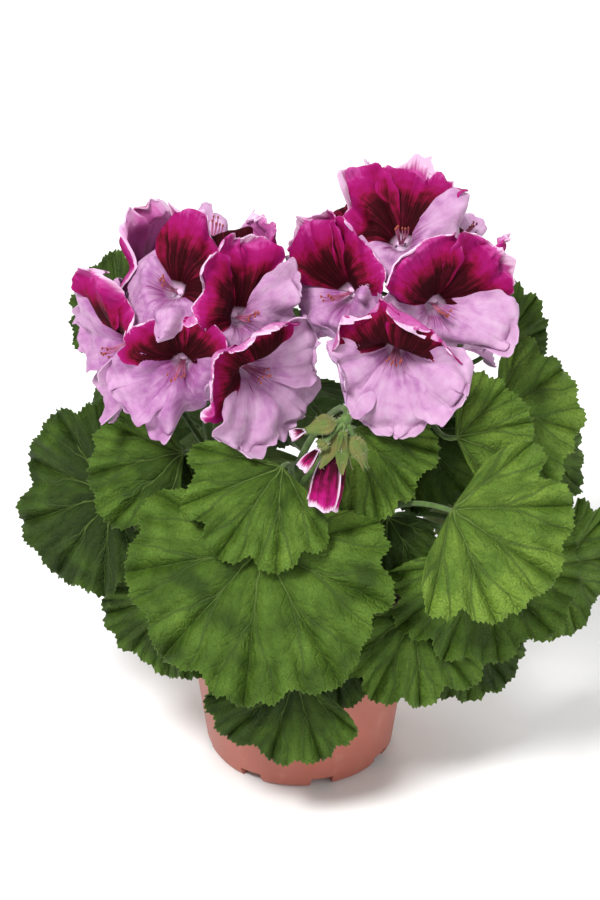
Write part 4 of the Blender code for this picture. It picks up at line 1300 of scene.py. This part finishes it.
def furled_petal(bud, number, looks):
    """One of the petals rolled round each other at the end of a bud."""
    start, way = bud_line(bud)
    start = start + way * (bud.calyx + 0.4)
    across_way = downhill(way)
    other = np.cross(way, across_way)
    seed = BUDS.index(bud) * 3 + number

    def place(across, along):
        turn = 2.1 * number + 1.9 * across + 0.5 * along
        swell = np.sin(np.pi * np.minimum(along, 0.74) / 1.48) ** 1.1
        radius = bud.petal_radius * (0.2 + 0.8 * swell - 0.25 * np.maximum(0, along - 0.8))
        radius = radius * (0.9 + 0.1 * across)
        crimp = np.sin(across * 11 + seed) + 0.6 * np.sin(across * 23 - seed + along * 9)
        radius = radius + 0.07 * bud.petal_radius * along**3 * crimp
        ragged = 1 - 0.06 * across**2 + 0.02 * np.sin(across * 9 + seed)
        distance = bud.petals * along * ragged
        places = start + np.outer(distance, way)
        places += np.outer(radius * np.cos(turn), other)
        places += np.outer(0.82 * radius * np.sin(turn), across_way)
        fan = np.stack((across * 0.7, along, np.full_like(along, seed * 5.1)), axis=1)
        rim = np.minimum(bud.petals * (1 - along), 3.6 * bud.petal_radius * (1 - np.abs(across)))
        flat = np.stack((across * 12 + 40 * seed, distance, rim), axis=1)
        return places, {"fan": fan, "flat": flat, "blotch": 0.1 + 0.62 * along**1.5}

    outward = other * math.cos(2.1 * number) + across_way * math.sin(2.1 * number)
    return formed_sheet("furled_petal", 30, 26, place, outward, looks, 0.5)


def make_closed_bud(bud, looks):
    """The green ribbed case of a bud."""
    start, way = bud_line(bud)
    length = bud.calyx
    tip = 1.5 if bud.petals else 0.3
    path = [(start + way * length * share, way * length * 0.12) for share in (0, 0.3, 0.65, 1)]
    radii = (0.9, bud.radius, bud.radius * 0.85, tip)
    pieces = [tube(path, radii, looks[0], 6, 3)]
    across = downhill(way)
    other = np.cross(way, across)
    for number in range(5):
        out = swing(across, other, 72 * number)
        side_start = start + way * 0.6
        pieces.append(make_bud_rib(side_start, way, out, length, bud.radius, looks))
    return pieces


def make_bud_rib(start, way, out, length, radius, looks):
    """A sepal pressed along a closed bud, with a free tip."""
    path = [
        (start + out * 0.8, way * length * 0.1 + out * 0.6),
        (start + way * length * 0.35 + out * radius * 0.86, way * length * 0.18),
        (start + way * length * 1.02 + out * 1.4, way * length * 0.2 + out * 0.8),
    ]
    return tube(path, (0.5, 1.5, 0.25), looks[0], 6, 1)


def make_buds(looks):
    """Stalk, sepals and closed buds of the nodding bunch in front."""
    hub = point(*BUD_HUB)
    stem = stem_named("front")
    start = stem_place(stem, stem.top - 4)
    path = [(start, point(6, -2, 24)), (hub, point(-2, -14, -8))]
    pieces = [tube(path, (1.7, 1.3), looks["stem"], 14, 2)]
    pieces.append(pebble(hub, (2.6, 2.6, 2.6), looks["stem"]))
    for bud in BUDS:
        start, way = bud_line(bud)
        path = [(hub + way * 0.7, way * 2), (start + way, way * 2)]
        pieces.append(tube(path, (1.0, 1.1), looks["stem"], 3, 2))
        pieces += make_closed_bud(bud, looks["sepal"])
        if bud.sepals:
            across = downhill(way)
            other = np.cross(way, across)
            for number in range(5):
                out = swing(across, other, 72 * (number + 0.25))
                pieces.append(
                    make_sepal(start + way * 2, way, out, 16, 3.4, bud.sepals + 2.2, looks["sepal"])
                )
    hairs = [hairs_on(piece, looks["hair"]) for piece in pieces]
    return pieces + hairs


def make_bud_petals(bud, looks):
    """The petals that show beyond a bud's case, rolled round one another."""
    petals = [furled_petal(bud, number, looks) for number in range(3)]
    start, way = bud_line(bud)
    foot = start + way * (bud.calyx + 0.4)
    path = [(foot, way * 2), (foot + way * bud.petals * 0.6, way * 2)]
    petals.append(tube(path, (1.2, 0.45 * bud.petal_radius), looks[1], 4, 3))
    kept(joined(f"furled_petals_{bud.name}", petals), "dark", f"bud_petals_{bud.name}")


def hairs_on(piece, look):
    """A scatter of straight hairs that stand on a piece. They are thicker and
    fewer than the down of the plant, so that they show."""
    sides = piece.data.polygons
    shape = bmesh.new()
    for number in range(HAIR_COUNT):
        side = sides[int(chance(number + 0.7) * len(sides))]
        tall = HAIR_LENGTH * MM * (0.6 + 0.8 * chance(number + 0.2))
        lean = side.normal.copy()
        lean.x += 0.8 * (chance(number + 0.4) - 0.5)
        lean.z += 0.8 * (chance(number + 0.9) - 0.5)
        turned_way = lean.to_track_quat("Z", "Y").to_matrix().to_4x4()
        turned_way.translation = side.center + lean.normalized() * tall * 0.45
        bmesh.ops.create_cone(
            shape, cap_ends=True, segments=3, radius1=HAIR_FOOT * MM,
            radius2=HAIR_TIP * MM, depth=tall, matrix=turned_way,
        )
    mesh = bpy.data.meshes.new("hairs")
    shape.to_mesh(mesh)
    shape.free()
    mesh.materials.append(look)
    made = bpy.data.objects.new("hairs", mesh)
    bpy.context.scene.collection.objects.link(made)
    return made


def make_shoots(looks):
    for stem in STEMS:
        pieces = make_stem(stem, looks["stem"])
        for leaf in LEAVES:
            if leaf.shoot == stem.name:
                pieces.append(make_petiole(leaf, looks["stem"]))
                pieces.append(make_blade(leaf, looks["leaf"]))
        for head in HEADS:
            if head.shoot == stem.name:
                pieces += make_head_stalk(head, looks["stem"])
                for bloom in BLOOMS:
                    if bloom.head == head.name:
                        pieces.append(make_pedicel(bloom, looks["stem"]))
                        pieces += make_calyx(bloom, looks["sepal"])
        if stem.name == "front":
            pieces += make_buds(looks)
        kept(joined(f"leafy_{stem.name}", pieces), "green", f"shoot_{stem.name}")


# Studio
def make_floor(look):
    bpy.ops.mesh.primitive_plane_add(size=9)
    floor = bpy.context.object
    floor.name = "studio_floor"
    floor.data.materials.append(look)


def make_light(name, place, target, size, energy):
    bpy.ops.object.light_add(type="AREA", location=place)
    lamp = bpy.context.object
    lamp.name = name
    lamp.data.shape = "DISK"
    lamp.data.size = size
    lamp.data.energy = energy
    aim = Vector(target) - Vector(place)
    lamp.rotation_euler = aim.to_track_quat("-Z", "Y").to_euler()


def make_studio():
    world = bpy.data.worlds.new("soft_white")
    bpy.context.scene.world = world
    world.use_nodes = True
    back = world.node_tree.nodes["Background"]
    back.inputs[0].default_value = (1, 1, 1, 1)
    back.inputs[1].default_value = 0.5
    make_light("key_light", (-0.7, -1.2, 2.0), (0, 0, 0.15), 0.6, 56)
    make_light("fill_light", (1.5, -1.2, 0.9), (0, 0, 0.15), 1.4, 8)
    make_light("back_light", (0.2, 2.4, 1.9), (0, 1.0, 0), 2.0, 40)
    bpy.context.scene.view_settings.view_transform = "Standard"


def make_camera():
    """The photograph's view: level with its front, thirty degrees above."""
    rise = math.radians(30)
    target = point(0, 0, 0.162)
    place = target + 1.3 * point(0, -math.cos(rise), math.sin(rise))
    bpy.ops.object.camera_add(location=place, rotation=(math.radians(60), 0, 0))
    camera = bpy.context.object
    camera.name = "photo_view"
    camera.data.lens = 111.8
    camera.data.sensor_width = 36
    bpy.context.scene.camera = camera


def build():
    upper_front = upper_petal_material(
        "upper_petal_face",
        (
            (0.0, "#2A0509"), (0.13, "#35070F"), (0.25, "#5A0A1F"), (0.38, "#7E0C38"),
            (0.52, "#8C0F54"), (0.76, "#981866"), (0.94, "#B0448A"),
        ),
        "#E6C2DE", "#5A0C2A",
    )
    upper_back = upper_petal_material(
        "upper_petal_back",
        (
            (0.0, "#8C4470"), (0.3, "#A04684"), (0.6, "#B25294"), (0.8, "#C06CA6"),
            (0.95, "#CC90BC"),
        ),
        "#E0BEDB", "#8A3A6C",
    )
    lower_front = lower_petal_material(
        "lower_petal_face", ("#9C5E97", "#BA8CB3", "#C6A2C0"), "#A06A9B", "#7A1E62", "#D3B6CE"
    )
    lower_back = lower_petal_material(
        "lower_petal_back", ("#A678A4", "#B48CB2", "#BF9CBC"), "#A078A0", "#96609A", "#C8AEC6"
    )
    # In each leaf material the fourth colour is painted shade, laid in the grooves of the veins
    leaf_face = leaf_material(
        "pelargonium_leaf_face", ("#22330C", "#364C15", "#4A661E", "#5E7C2B", "#769437"),
        "#708A42", "#1A290A", "#5F7A30", 1.6,
    )
    leaf_back = leaf_material(
        "pelargonium_leaf_back", ("#465E2C", "#546E36", "#617C42", "#6C8850", "#7A965A"),
        "#869F60", "#435C2A", "#748E50", -0.9,
    )
    furled = upper_petal_material(
        "furled_petal_skin",
        (
            (0.0, "#22060E"), (0.28, "#3A0A1A"), (0.46, "#7E1148"), (0.62, "#A31468"),
            (0.8, "#B42680"), (0.95, "#C870AC"),
        ),
        "#E2C4DC", "#4A0A26",
    )
    sepal = plain_skin("hairy_sepal", "#556C2B", "#6F6A36", 0.65, 200.0)
    looks = {
        "upper": (upper_front, upper_back),
        "lower": (lower_front, lower_back),
        "furled": (furled, lower_back),
        "hair": plain_skin("silky_hair", "#9BA878", "#BCC49C", 0.5, 300.0),
        "leaf": (leaf_face, leaf_back),
        "stem": stem_material(),
        "sepal": (sepal,),
        "stamen": (
            plain_skin("pink_filament", "#963A62", "#BE6489", 0.5, 200.0),
            plain_skin("orange_anther", "#8A3226", "#A84A34", 0.7, 300.0),
        ),
    }
    make_camera()
    make_studio()
    make_floor(floor_material())
    make_pot(pot_material())
    make_compost(compost_material())
    make_shoots(looks)
    for bloom in BLOOMS:
        make_bloom(bloom, looks)
    for bud in BUDS:
        if bud.petals:
            make_bud_petals(bud, looks["furled"])


build()
